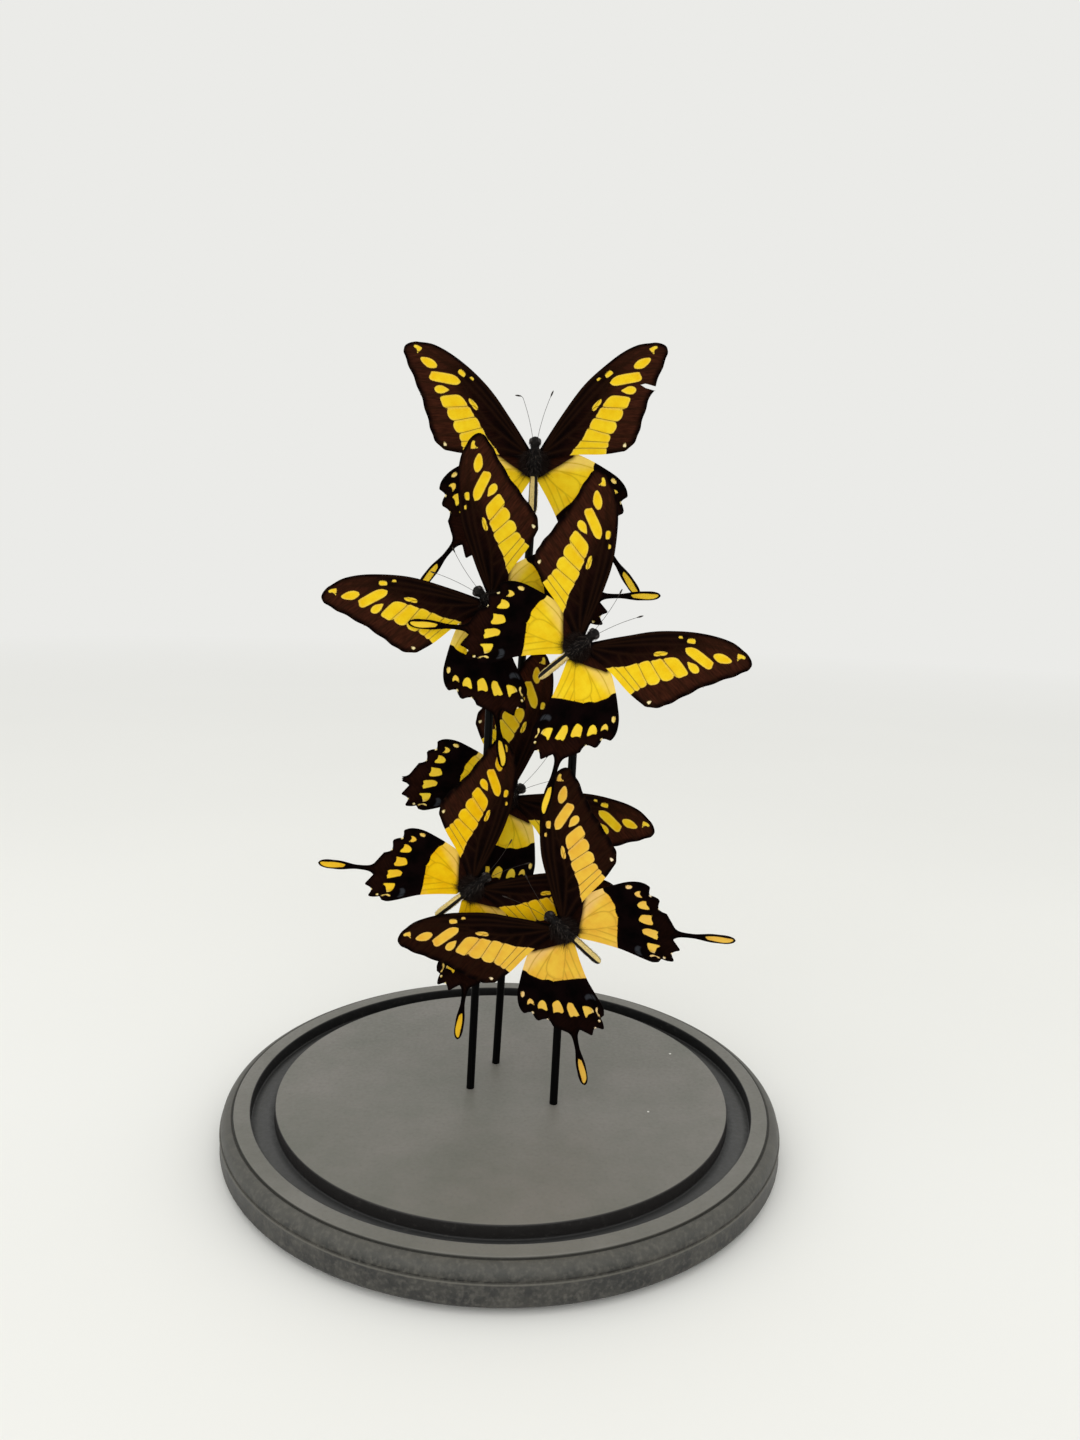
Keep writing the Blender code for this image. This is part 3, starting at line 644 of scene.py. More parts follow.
def wing_scales(name, yellow, deep, pale, brown):
    """Wing membrane under overlapping scales: velvety, matte and strongly coloured, with marks
    whose edges are ragged by a row or two of scales."""
    material, tree, shader = start_material(name, Specular_IOR_Level=0.0)
    flat = add_node(tree, "TexCoord", {}, "UV")
    # A scale is 0.1 mm long. They are drawn at about 0.25 mm to show.
    scales = add_node(tree, "TexNoise", {"Vector": flat, "Scale": 420.0})
    along = add_node(tree, "Mapping", {"Vector": flat, "Scale": (18.0, 150.0, 1.0)})
    streaks = add_node(tree, "TexNoise", {"Vector": along, "Scale": 1.0, "Detail": 4.0})
    patches = add_node(tree, "TexNoise", {"Vector": flat, "Scale": 14.0, "Detail": 3.0})
    read = {
        word: add_node(tree, "Attribute", {}, "Fac", attribute_name=word) for word in WING_VALUES
    }
    ragged = add_node(tree, "Math", {0: scales, 1: 0.55, 2: read["mark"]}, operation="MULTIPLY_ADD")
    marked = add_node(tree, "MapRange", {"Value": ragged, "From Min": 0.185, "From Max": 0.365})

    ground = add_node(tree, "ValToRGB", {"Fac": patches}, stops=((0.35, "#040303"), (0.65, "#0d0606")))
    rust = add_node(tree, "MapRange", {
        "Value": streaks, "From Min": 0.3, "From Max": 0.7, "To Min": 0.35, "To Max": 1.0,
    })
    rust = add_node(tree, "Math", {0: rust, 1: read["warm"]}, operation="MULTIPLY")
    ground = add_node(tree, "MixRGB", {"Fac": rust, "Color1": ground, "Color2": brown})

    sun = add_node(tree, "ValToRGB", {"Fac": patches}, stops=((0.35, yellow), (0.7, deep)))
    deeper = add_node(tree, "MapRange", {
        "Value": streaks, "From Min": 0.35, "From Max": 0.7, "To Max": 0.25,
    })
    sun = add_node(tree, "MixRGB", {"Fac": deeper, "Color1": sun, "Color2": deep})
    for share, tint in ((read["pale"], pale), (read["soot"], "#2a1509")):
        sun = add_node(tree, "MixRGB", {"Fac": share, "Color1": sun, "Color2": tint})

    colour = add_node(tree, "MixRGB", {"Fac": marked, "Color1": ground, "Color2": sun})
    blue = add_node(tree, "MapRange", {
        "Value": read["blue"], "From Min": -0.1, "From Max": 0.6, "To Max": 0.17,
    })
    for share, tint in ((blue, "#6a6f78"), (read["vein"], "#22130b")):
        colour = add_node(tree, "MixRGB", {"Fac": share, "Color1": colour, "Color2": tint})
    dull = add_node(tree, "MixRGB", {"Fac": 0.55, "Color1": colour, "Color2": "#c9b98a"})
    paler = add_node(tree, "MapRange", {"Value": marked, "To Min": 0.12, "To Max": 0.8})
    paler = add_node(tree, "Math", {0: paler, 1: read["under"]}, operation="MULTIPLY")
    colour = add_node(tree, "MixRGB", {"Fac": paler, "Color1": colour, "Color2": dull})

    rough = add_node(tree, "MapRange", {
        "Value": scales, "From Min": 0.3, "From Max": 0.7, "To Min": 0.7, "To Max": 0.9,
    })
    relief = add_node(tree, "Bump", {"Height": scales, "Strength": 0.25, "Distance": 0.00008})
    finish_material(tree, shader, Base_Color=colour, Roughness=rough, Normal=relief)
    return material


def dried_body():
    """Hard dried skin of the body under short scales: near black and dull, with a straw-coloured
    stripe along each side of the abdomen."""
    material, tree, shader = start_material("dried insect skin", Specular_IOR_Level=0.2)
    place = add_node(tree, "TexCoord", {}, "Object")
    grain = add_node(tree, "TexNoise", {"Vector": place, "Scale": 4000.0, "Detail": 3.0})
    stripe = add_node(tree, "Attribute", {}, "Fac", attribute_name="stripe")
    ragged = add_node(tree, "Math", {0: grain, 1: 0.5, 2: stripe}, operation="MULTIPLY_ADD")
    striped = add_node(tree, "MapRange", {"Value": ragged, "From Min": 0.65, "From Max": 0.85})
    dark = add_node(tree, "ValToRGB", {"Fac": grain}, stops=((0.35, "#070505"), (0.7, "#14100d")))
    straw = add_node(tree, "ValToRGB", {"Fac": grain}, stops=((0.3, "#c9ab5a"), (0.7, "#e2cf90")))
    colour = add_node(tree, "MixRGB", {"Fac": striped, "Color1": dark, "Color2": straw})
    rough = add_node(tree, "MapRange", {
        "Value": grain, "From Min": 0.3, "From Max": 0.7, "To Min": 0.55, "To Max": 0.85,
    })
    relief = add_node(tree, "Bump", {"Height": grain, "Strength": 0.5, "Distance": 0.0001})
    finish_material(tree, shader, Base_Color=colour, Roughness=rough, Normal=relief)
    return material


def body_hair():
    """Fine hair of the thorax, the head and the wing roots: black and dark brown, with a few
    grey hairs, and dull."""
    material, tree, shader = start_material("insect hair", Roughness=0.75, Specular_IOR_Level=0.1)
    shade = add_node(tree, "Attribute", {}, "Fac", attribute_name="shade")
    colour = add_node(tree, "ValToRGB", {"Fac": shade}, stops=(
        (0.0, "#060505"), (0.5, "#1f120d"), (1.0, "#716862"),
    ))
    finish_material(tree, shader, Base_Color=colour)
    return material


def compound_eye():
    """A dried compound eye: smooth dark brown with a soft gloss, and facets too fine to see."""
    material, tree, shader = start_material("compound eye", Roughness=0.3, Specular_IOR_Level=0.4)
    place = add_node(tree, "TexCoord", {}, "Object")
    facets = add_node(tree, "TexVoronoi", {"Vector": place, "Scale": 9000.0}, "Distance")
    colour = add_node(tree, "ValToRGB", {"Fac": facets}, stops=((0.2, "#20130d"), (0.7, "#0d0705")))
    relief = add_node(tree, "Bump", {"Height": facets, "Strength": 0.3, "Distance": 0.00003})
    finish_material(tree, shader, Base_Color=colour, Normal=relief)
    return material


def horn(name, first, second):
    """Dry horn of a leg or an antenna: dark brown, a little shiny, and faintly mottled."""
    material, tree, shader = start_material(name, Specular_IOR_Level=0.3)
    place = add_node(tree, "TexCoord", {}, "Object")
    grain = add_node(tree, "TexNoise", {"Vector": place, "Scale": 2500.0})
    colour = add_node(tree, "ValToRGB", {"Fac": grain}, stops=((0.3, first), (0.7, second)))
    rough = add_node(tree, "MapRange", {
        "Value": grain, "From Min": 0.3, "From Max": 0.7, "To Min": 0.4, "To Max": 0.65,
    })
    finish_material(tree, shader, Base_Color=colour, Roughness=rough)
    return material


def lacquered_rod():
    """Drawn steel rod with black lacquer: a deep satin black with a narrow upright highlight."""
    material, tree, shader = start_material(
        "black lacquered steel", Specular_IOR_Level=0.03, Coat_Weight=0.03, Coat_Roughness=0.15,
    )
    place = add_node(tree, "TexCoord", {}, "Object")
    along = add_node(tree, "Mapping", {"Vector": place, "Scale": (2400.0, 2400.0, 60.0)})
    drawn = add_node(tree, "TexNoise", {"Vector": along, "Scale": 1.0, "Detail": 3.0})
    colour = add_node(tree, "ValToRGB", {"Fac": drawn}, stops=((0.4, "#030303"), (0.75, "#090909")))
    rough = add_node(tree, "MapRange", {
        "Value": drawn, "From Min": 0.3, "From Max": 0.7, "To Min": 0.3, "To Max": 0.45,
    })
    relief = add_node(tree, "Bump", {"Height": drawn, "Strength": 0.15, "Distance": 0.00003})
    finish_material(tree, shader, Base_Color=colour, Roughness=rough, Normal=relief)
    return material


def glue():
    """A set drop of black hot glue: smooth and slightly waxy."""
    material, tree, shader = start_material("black hot glue", Roughness=0.35, Specular_IOR_Level=0.4)
    place = add_node(tree, "TexCoord", {}, "Object")
    grain = add_node(tree, "TexNoise", {"Vector": place, "Scale": 900.0})
    colour = add_node(tree, "ValToRGB", {"Fac": grain}, stops=((0.3, "#0a0909"), (0.7, "#171413")))
    finish_material(tree, shader, Base_Color=colour)
    return material


def dust():
    """A crumb of pale dust or plaster on the disc: white and quite matte."""
    material, tree, shader = start_material("pale dust", Roughness=0.95, Specular_IOR_Level=0.1)
    place = add_node(tree, "TexCoord", {}, "Object")
    grain = add_node(tree, "TexNoise", {"Vector": place, "Scale": 3000.0})
    colour = add_node(tree, "ValToRGB", {"Fac": grain}, stops=((0.3, "#c9c7c0"), (0.7, "#efeeea")))
    finish_material(tree, shader, Base_Color=colour)
    return material


def painted_wood():
    """Turned wood under thin matte paint: warm grey on top, a grey groove floor with painted shade
    along its walls, and a moulded edge that is darker towards the bottom and mottled by sandy
    specks, with painted shadow at its foot, painted shade in its slot and above its bead, and a
    light bead that is part painted highlight on its ledge, part rubbed wear."""
    material, tree, shader = start_material("matte painted wood", Specular_IOR_Level=0.42)
    place = add_node(tree, "TexCoord", {}, "Object")
    level = add_node(tree, "Mapping", {"Vector": place, "Scale": (1.0, 1.0, 0.0)})
    radius = add_node(tree, "VectorMath", {0: level}, "Value", operation="LENGTH")
    height = add_node(tree, "SeparateXYZ", {"Vector": place}, "Z")
    clouds = add_node(tree, "TexNoise", {
        "Vector": place, "Scale": 38.0, "Detail": 5.0, "Roughness": 0.6,
    })
    stains = add_node(tree, "TexNoise", {
        "Vector": place, "Scale": 150.0, "Detail": 5.0, "Roughness": 0.65,
    })
    sand = add_node(tree, "TexNoise", {"Vector": place, "Scale": 700.0, "Detail": 4.0})
    # The turning lines are 0.3 mm apart on the real edge and are drawn at about 0.6 mm.
    around = add_node(tree, "Mapping", {"Vector": place, "Scale": (60.0, 60.0, 1700.0)})
    turned = add_node(tree, "TexNoise", {"Vector": around, "Scale": 1.0, "Detail": 4.0})

    top = add_node(tree, "ValToRGB", {"Fac": clouds}, stops=((0.32, "#65655d"), (0.68, "#73706a")))
    rim = add_node(tree, "ValToRGB", {"Fac": clouds}, stops=((0.32, "#64635c"), (0.68, "#72706a")))
    across = add_node(tree, "MapRange", {
        "Value": radius, "From Min": GROOVE_INNER, "From Max": GROOVE_OUTER,
    })
    # Across the groove: a grey floor, with painted shade darkening it towards both walls.
    groove_paint_and_shade = add_node(tree, "ValToRGB", {"Fac": across}, stops=(
        (0.0, "#0d0d0d"), (0.3, "#454545"), (0.7, "#484847"), (0.93, "#0d0d0c"),
    ))
    share = add_node(tree, "Math", {0: height, 1: BASE_HEIGHT}, operation="DIVIDE")
    # Above the groove's floor its walls take painted shade, darkest at the outer wall.
    wall = add_node(tree, "MapRange", {"Value": share, "From Min": 0.69, "From Max": 0.73})
    painted_wall_shade = add_node(tree, "ValToRGB", {"Fac": across}, stops=((0.3, "#22201f"), (0.7, "#090909")))
    groove_paint_and_shade = add_node(tree, "MixRGB", {"Fac": wall, "Color1": groove_paint_and_shade, "Color2": painted_wall_shade})
    # Up the edge, darker towards the bottom: painted shadow under the base at its foot, a dark lower
    # band, a light bead that is part painted highlight on its ledge and part rubbed wear, and painted
    # shade in the crevice just above it.
    moulded = add_node(tree, "ValToRGB", {"Fac": share}, stops=(
        (0.12, "#0b0b0b"), (0.2, "#1f1f1e"), (0.615, "#242423"), (0.63, "#504e47"), (0.65, "#4d4b45"),
        (0.665, "#181714"), (0.73, "#252522"), (0.82, "#353531"), (0.95, "#42413c"),
    ))
    mottle = add_node(tree, "MapRange", {
        "Value": stains, "From Min": 0.4, "From Max": 0.72, "To Max": 0.36,
    })
    moulded = add_node(tree, "MixRGB", {"Fac": mottle, "Color1": moulded, "Color2": "#5d5a52"})
    grit = add_node(tree, "MapRange", {
        "Value": sand, "From Min": 0.45, "From Max": 0.7, "To Max": 0.36,
    })
    moulded = add_node(tree, "MixRGB", {"Fac": grit, "Color1": moulded, "Color2": "#66635c"})

    past = {
        word: add_node(tree, "MapRange", {"Value": radius, "From Min": low, "From Max": high})
        for word, (low, high) in PAINT_CHANGES.items()
    }
    # Painted shade in the slot at the top of the edge.
    moulded = add_node(tree, "MixRGB", {"Fac": past["slot"], "Color1": moulded, "Color2": "#2c2b26"})
    colour = top
    for word, paint in (("groove", groove_paint_and_shade), ("rim", rim), ("edge", moulded)):
        colour = add_node(tree, "MixRGB", {"Fac": past[word], "Color1": colour, "Color2": paint})
    worn = add_node(tree, "MapRange", {
        "Value": sand, "From Min": 0.6, "From Max": 0.75, "To Max": 0.2,
    })
    colour = add_node(tree, "MixRGB", {"Fac": worn, "Color1": colour, "Color2": "#5d5a54"})

    rough = add_node(tree, "MapRange", {
        "Value": sand, "From Min": 0.3, "From Max": 0.7, "To Min": 0.42, "To Max": 0.6,
    })
    lines = add_node(tree, "Math", {0: turned, 1: past["edge"]}, operation="MULTIPLY")
    lines = add_node(tree, "Math", {0: lines, 1: 0.4, 2: sand}, operation="MULTIPLY_ADD")
    relief = add_node(tree, "Bump", {"Height": lines, "Strength": 0.3, "Distance": 0.0001})
    finish_material(tree, shader, Base_Color=colour, Roughness=rough, Normal=relief)
    return material


def backdrop(background):
    """Plain pale paper floor, which fades far out into the background's own brightness."""
    material, tree, shader = start_material("pale paper floor", Roughness=1.0, Specular_IOR_Level=0.0)
    place = add_node(tree, "TexCoord", {}, "Object")
    far = add_node(tree, "VectorMath", {0: place}, "Value", operation="LENGTH")
    fade = add_node(tree, "MapRange", {"Value": far, "From Min": 0.4, "From Max": 2.5})
    grain = add_node(tree, "TexNoise", {"Vector": place, "Scale": 3.0})
    paper = add_node(tree, "ValToRGB", {"Fac": grain}, stops=((0.0, "#ecece9"), (1.0, "#f1f1ee")))
    colour = add_node(tree, "MixRGB", {"Fac": fade, "Color1": paper, "Color2": "#000000"})
    shader.inputs["Emission Color"].default_value = (*background, 1.0)
    finish_material(tree, shader, Base_Color=colour, Emission_Strength=fade)
    return material


# Where things stand.

def rod_points(rod, heights):
    """Points on a rod's axis at heights above the disc: its foot, moved across by the height times
    the tangent of its lean."""
    x, y = RODS[rod]["foot"]
    lean = math.tan(RODS[rod]["lean"])
    return np.column_stack([x + lean * heights, np.full(len(heights), y), BASE_HEIGHT + heights])


def body_frame(butterfly):
    """The butterfly's frame in the world: its back faces the front, its head turned by spin."""
    turn = (
        Matrix.Rotation(math.radians(butterfly["yaw"]), 4, "Z")
        @ Matrix.Rotation(math.radians(butterfly["pitch"]), 4, "X")
        @ Matrix.Rotation(math.radians(butterfly["spin"]), 4, "Y")
        @ Matrix.Rotation(math.pi / 2, 4, "X")
    )
    back = turn.to_3x3() @ UP
    place = Vector(rod_points(butterfly["rod"], np.array([butterfly["height"] * MM]))[0])
    place += back * THORAX_STAND_OFF + Vector((butterfly["aside"] * MM, 0, 0))
    return Matrix.Translation(place) @ turn @ Matrix.Scale(butterfly["size"], 4)


def wing_frame(hinge, lift, sweep, side):
    """Where a wing lies in the body's frame: swept about the hinge, then lifted."""
    return (
        Matrix.Translation(Vector((hinge[0] * side, hinge[1], hinge[2])) * MM)
        @ Matrix.Rotation(-math.radians(lift) * side, 4, "Y")
        @ Matrix.Rotation(math.radians(sweep) * side, 4, "Z")
    )


# Wings.

def patch(leading, inner, outer, share):
    """A flat surface between four edges: the blend across from the leading edge to the inner edge,
    plus the blend out from the hinge to the outer edge, less the blend of the four corners. The
    share is how far along the outer edge each of its points lies, from 0 to 1."""
    c0, c1, d1 = leading[:, None], inner[:, None], outer[None]
    t = share[None, :, None]
    s = np.linspace(0, 1, len(leading))[:, None, None]
    d0 = c0[0] * (1 - t) + c1[0] * t
    corners = ((1 - s) * (1 - t) * c0[0] + (1 - s) * t * c1[0] + s * (1 - t) * c0[-1]
               + s * t * c1[-1])
    return (1 - t) * c0 + t * c1 + (1 - s) * d0 + s * d1 - corners


def scallop(start, end):
    """From one blunt tooth to the next: a straight chord bowed inwards by half a sine wave."""
    a, b = np.array(start), np.array(end)
    chord = b - a
    length = np.linalg.norm(chord)
    along = chord / length
    inward = np.array([along[1], -along[0]])
    inward = inward if inward @ (np.array([15.0, -14.0]) - a) > 0 else -inward
    t = np.linspace(0, 1, 40)[:, None]
    hollow = np.clip((t * length - TOOTH_WIDTH / 2) / (length - TOOTH_WIDTH), 0, 1)
    return a + chord * t + inward * SCALLOP_DEPTH * np.sin(math.pi * hollow)


def tail_widths(t):
    """The tail's half width along it: a flared root, a slim stem and a spoon with a round end."""
    stem = TAIL_STEM_HALF_WIDTH + TAIL_ROOT_HALF_WIDTH * np.exp(-t / TAIL_FLARE)
    widens = smooth_step(t, SPOON_START, SPOON_START + SPOON_WIDENS)
    spoon = (TAIL_TIP_HALF_WIDTH - TAIL_STEM_HALF_WIDTH) * widens
    end = np.sqrt(np.clip(1 - (np.clip((t - SPOON_ROUNDS) / (1 - SPOON_ROUNDS), 0, 1)) ** 2, 0, 1))
    return (stem + spoon) * end


def tail_axis():
    """Where the tail starts, the direction along it, the direction across it, and its length."""
    root = np.array(TAIL_ROOT)
    reach = np.array(TAIL_TIP) - root
    length = np.linalg.norm(reach)
    along = reach / length
    return root, along, np.array([-along[1], along[0]]), length


def hind_outer():
    """The hindwing's outer edge in three parts: teeth, the cut where the tail starts, teeth."""
    root, _, across, _ = tail_axis()
    half = tail_widths(np.array([0.0]))[0]
    cut = np.vstack([root + across * half, root - across * half])
    before, after = (
        [scallop(start, end) for start, end in zip(teeth, teeth[1:])]
        for teeth in (TEETH_BEFORE_TAIL, TEETH_AFTER_TAIL)
    )
    return np.vstack([*before, cut[:1]]), cut, np.vstack([cut[1:], *after])


def fore_sheet():
    """The forewing's flat points and the numbers of its grid."""
    leading = curve_through(FORE_LEADING, 12)
    outer = curve_through([FORE_LEADING[-2], *FORE_OUTER, FORE_INNER[-2]], 12)[12:-12]
    share = np.linspace(0, 1, len(outer))
    wave = np.sin(math.pi * EDGE_WAVES * share) ** 2 * smooth_step(share, 0.12, 0.3)
    outer[:, 0] -= EDGE_WAVE * wave
    inner = curve_through(FORE_INNER, 12)
    rows, columns = FORE_GRID
    grid = patch(
        spaced(leading, rows), spaced(inner, rows), spaced(outer, columns), np.linspace(0, 1, columns),
    )
    index = np.arange(grid.shape[0] * grid.shape[1]).reshape(grid.shape[:2])
    return grid.reshape(-1, 2), [index]


def hind_sheet(kept):
    """The hindwing's flat points and the numbers of its grids: the wing, and the tail that grows
    from part of its outer edge. Only a part of the tail is kept where it has broken off."""
    start, wide = HIND_OUTER_POINTS[0] - 1, HIND_OUTER_POINTS[1]
    parts = [spaced(part, count) for part, count in zip(hind_outer(), HIND_OUTER_POINTS)]
    outer = np.vstack([parts[0], parts[1][1:], parts[2][1:]])
    leading = spaced(curve_through(HIND_LEADING, 10), HIND_ROWS)
    inner = spaced(curve_through(HIND_INNER, 10), HIND_ROWS)
    leading[-1], inner[-1] = outer[0], outer[-1]
    run = np.concatenate([[0], np.cumsum(np.linalg.norm(np.diff(outer, axis=0), axis=1))])
    grid = patch(leading, inner, outer, run / run[-1])
    index = np.arange(HIND_ROWS * len(outer)).reshape(HIND_ROWS, len(outer))
    root, along, across, length = tail_axis()
    steps = np.minimum(np.linspace(0, 1, TAIL_STEPS)[1:] ** 1.1 * kept, 0.999)
    sides = np.linspace(1, -1, wide)
    ragged = np.where(kept < 1, 0.25 * np.sin(sides * 9.0), 0.0)[None] * (steps / kept)[:, None] ** 4
    tail = (root + along * ((steps[:, None] * length + ragged)[..., None])
            + across * (tail_widths(steps)[:, None] * sides[None])[..., None])
    numbers = index.size + np.arange(tail.shape[0] * tail.shape[1]).reshape(tail.shape[:2])
    tail_index = np.vstack([index[-1, start:start + wide], numbers])
    return np.vstack([grid.reshape(-1, 2), tail.reshape(-1, 2)]), [index, tail_index]


def open_tear(flat, index):
    """Splits the forewing along one column of its grid, in from the outer edge, and draws the two
    lips apart. The gap opens over the tear's inner third, and the pull fades away from it."""
    column = int(np.argmin(np.abs(flat[index[-1], 1] - TEAR_AT)))
    rows = index.shape[0]
    inward = np.linalg.norm(flat[index[:, column]] - flat[index[-1, column]], axis=1)
    first = int(np.argmax(inward < TEAR_LENGTH))
    lips = len(flat) + np.arange(rows - first - 1)
    points = np.vstack([flat, flat[index[first + 1:, column]]])
    lower = index[:, column:].copy()
    lower[first + 1:, 0] = lips
    end = points[index[first, column]]
    reach = smooth_step(points[:, 0] - end[0], -0.1, TEAR_OPENS * TEAR_LENGTH)
    line = np.interp(points[:, 0], flat[index[first:, column], 0], flat[index[first:, column], 1])
    away = points[:, 1] - line
    side = np.where(away > 1e-6, 1.0, -1.0)
    side[index[first + 1:, column]] = 1.0
    side[lips] = -1.0
    near = np.exp(-np.abs(away) / TEAR_PULL)
    points[:, 1] += side * TEAR_WIDTH / 2 * reach * near
    points[:, 1] -= TEAR_TURNS_BACK * np.clip(points[:, 0] - end[0], 0, None) * near
    return points, [index[:, :column + 1], lower]


def rim_of(faces):
    """The edges that only one face has, each in that face's own direction."""
    ends = np.vstack([faces[:, [k, (k + 1) % 4]] for k in range(4)])
    key = np.sort(ends, axis=1)
    _, where, count = np.unique(key, axis=0, return_inverse=True, return_counts=True)
    return ends[count[where.reshape(-1)] == 1]


def outline_of(grids):
    """The point numbers round a wing: out along the leading edge, along the outer edge and round
    the tail that grows from part of it, back along the inner edge, and home past the hinge."""
    wing = grids[0]
    edge = wing[-1]
    if len(grids) > 1:
        tail = grids[1]
        start = HIND_OUTER_POINTS[0] - 1
        end = start + HIND_OUTER_POINTS[1]
        edge = np.concatenate([edge[:start], tail[:-1, 0], tail[-1], tail[-2::-1, -1], edge[end:]])
    return np.concatenate([wing[:, 0], edge[1:], wing[-2::-1, -1], wing[0, -2:0:-1]])


def mark_distance(flat, marks):
    """Each point's distance to the nearest mark's edge, positive inside the marks."""
    return np.max([
        signed_distance(flat, closed_curve(mark)) - DRAWN_IN.get(name, 0.0)
        for name, mark in marks.items()
    ], axis=0)


def fore_values(flat, edge, ribs):
    """The forewing's values: brown outside the band and at the tip, weakly brown along the band, a
    cream smudge, marks a little paler at their edges, and wide faint veins on the dark ground."""
    x, y = flat.T
    smudge = signed_distance(flat, closed_curve(FORE_SMUDGE)) - 0.15
    mark = np.maximum(mark_distance(flat, FORE_MARKS), smudge)
    band = path_distance(flat, np.array([(24, 19), (19, 8), (16, 0)], float))
    outside = smooth_step(x - 0.45 * y, 8.5, 17.0) * smooth_step(edge, 0.5, 2.4)
    at_tip = 0.85 * smooth_step(y, 27.0, 34.0) * smooth_step(edge, 0.4, 1.6)
    beside_band = 0.28 * smooth_step(band, 12.0, 3.0)
    vein = 0.16 * smooth_step(ribs, 0.5, 0.1)
    vein += 0.4 * smooth_step(ribs, 1.1, 0.1) * smooth_step(mark, 0.0, -0.5)
    return {
        "mark": mark, "warm": np.max([outside, at_tip, beside_band], axis=0),
        "pale": np.maximum(smooth_step(smudge, -0.3, 0.2), 0.12 * smooth_step(mark, 0.5, 0.1)),
        "blue": np.full(len(flat), FAR_OUT), "soot": np.zeros(len(flat)), "vein": vein,
    }


def hind_values(flat, edge, ribs):
    """The hindwing's values: a sooty root, cream in the hollows of the outer edge, marks that are
    paler towards the front and the inner corner, brown along the outer edge and at the root but
    not on the tail, a grey-blue crescent, and veins on the yellow alone."""
    x, y = flat.T
    base = signed_distance(flat, closed_curve(HIND_BASE))
    notch = np.max([-np.hypot(x - a, y - b) for a, b in hind_notches()], axis=0) + 0.5
    notch[y < -33] = FAR_OUT
    mark = np.minimum(mark_distance(flat, {"field": HIND_FIELD, **HIND_MARKS}), -base)
    mark = np.maximum(mark, notch)
    near_front = 0.22 * smooth_step(y - 0.15 * x, -1.5, 2.2) * (x < 22)
    outer = (x > 22) | (y < -12)
    zones = [(y < -24.4) & (x < 16), outer & (y > -3), outer & (y > -7.6), outer]
    paler = np.select(zones, [0.35, 0.35, 0.12, 0.05], 0)
    root, along, _, length = tail_axis()
    outside = smooth_step(x * 0.8 - y * 0.55, 24.0, 31.0) * smooth_step(edge, 0.2, 1.6) * 0.32
    at_root = 0.6 * smooth_step(base, -1.2, 0.8) * smooth_step(x, 1.5, 5.0)
    off_tail = 1 - smooth_step((flat - root) @ along / length, 0.0, 0.3)
    return {
        "mark": mark, "warm": np.maximum(outside, at_root) * off_tail,
        "pale": np.max([near_front, smooth_step(notch, -0.2, 0.1), paler], axis=0),
        "blue": signed_distance(flat, closed_curve(HIND_BLUE)),
        "soot": 0.85 * smooth_step(base, -1.3, 0.2),
        "vein": 0.16 * smooth_step(ribs, 0.5, 0.1) * smooth_step(mark, -0.1, 0.2),
    }


def wing_values(flat, kind, outline):
    """What the wing's material and its lie read at each point: distances to the wing's edge, its
    veins and the marks' edges, and how warm, pale or sooty the scales are."""
    edge = np.abs(signed_distance(flat, outline))
    ribs = np.min([path_distance(flat, curve_through(v, 6)) for v in VEINS[kind]], axis=0)
    colours = {"fore": fore_values, "hind": hind_values}[kind](flat, edge, ribs)
    return {**colours, "ribs": ribs, "edge": edge}


def hind_notches():
    """The middles of the hollows in the hindwing's outer edge, where a little cream shows."""
    middles = []
    for teeth in (TEETH_BEFORE_TAIL, TEETH_AFTER_TAIL):
        for start, end in zip(teeth, teeth[1:]):
            middles.append(scallop(start, end)[20])
    return middles


def lie_of(flat, edge, ribs, phase):
    """The height of the wing's middle surface: it droops with the square of the distance from the
    hinge, sinks a little between its veins, and waves slightly along its edge."""
    x, y = flat.T
    sink = 0.10 * smooth_step(ribs, 0.2, 1.8) * smooth_step(edge, 0.0, 1.5)
    wave = 0.28 * np.sin(0.21 * x + 0.33 * y + phase) * smooth_step(edge, 9.0, 0.0)
    far = np.hypot(x, y)
    return -WING_DROOP * far ** 2 - sink + wave * smooth_step(far, 6.0, 24.0)


@functools.cache
def wing_template(kind, kept):
    """A wing's flat points, the numbers of its grids and the values at its points, worked out once
    for all the wings that share them."""
    flat, grids = fore_sheet() if kind == "fore" else hind_sheet(kept)
    return flat, grids, wing_values(flat, kind, flat[outline_of(grids)])


def wing_map(flat):
    """Where the points lie on the wing's own map, from 0 to 1 over its field."""
    return {
        "u": (flat[:, 0] + MAP_HINGE[0]) / MAP_FIELD[0],
        "v": (flat[:, 1] + MAP_HINGE[1]) / MAP_FIELD[1],
    }


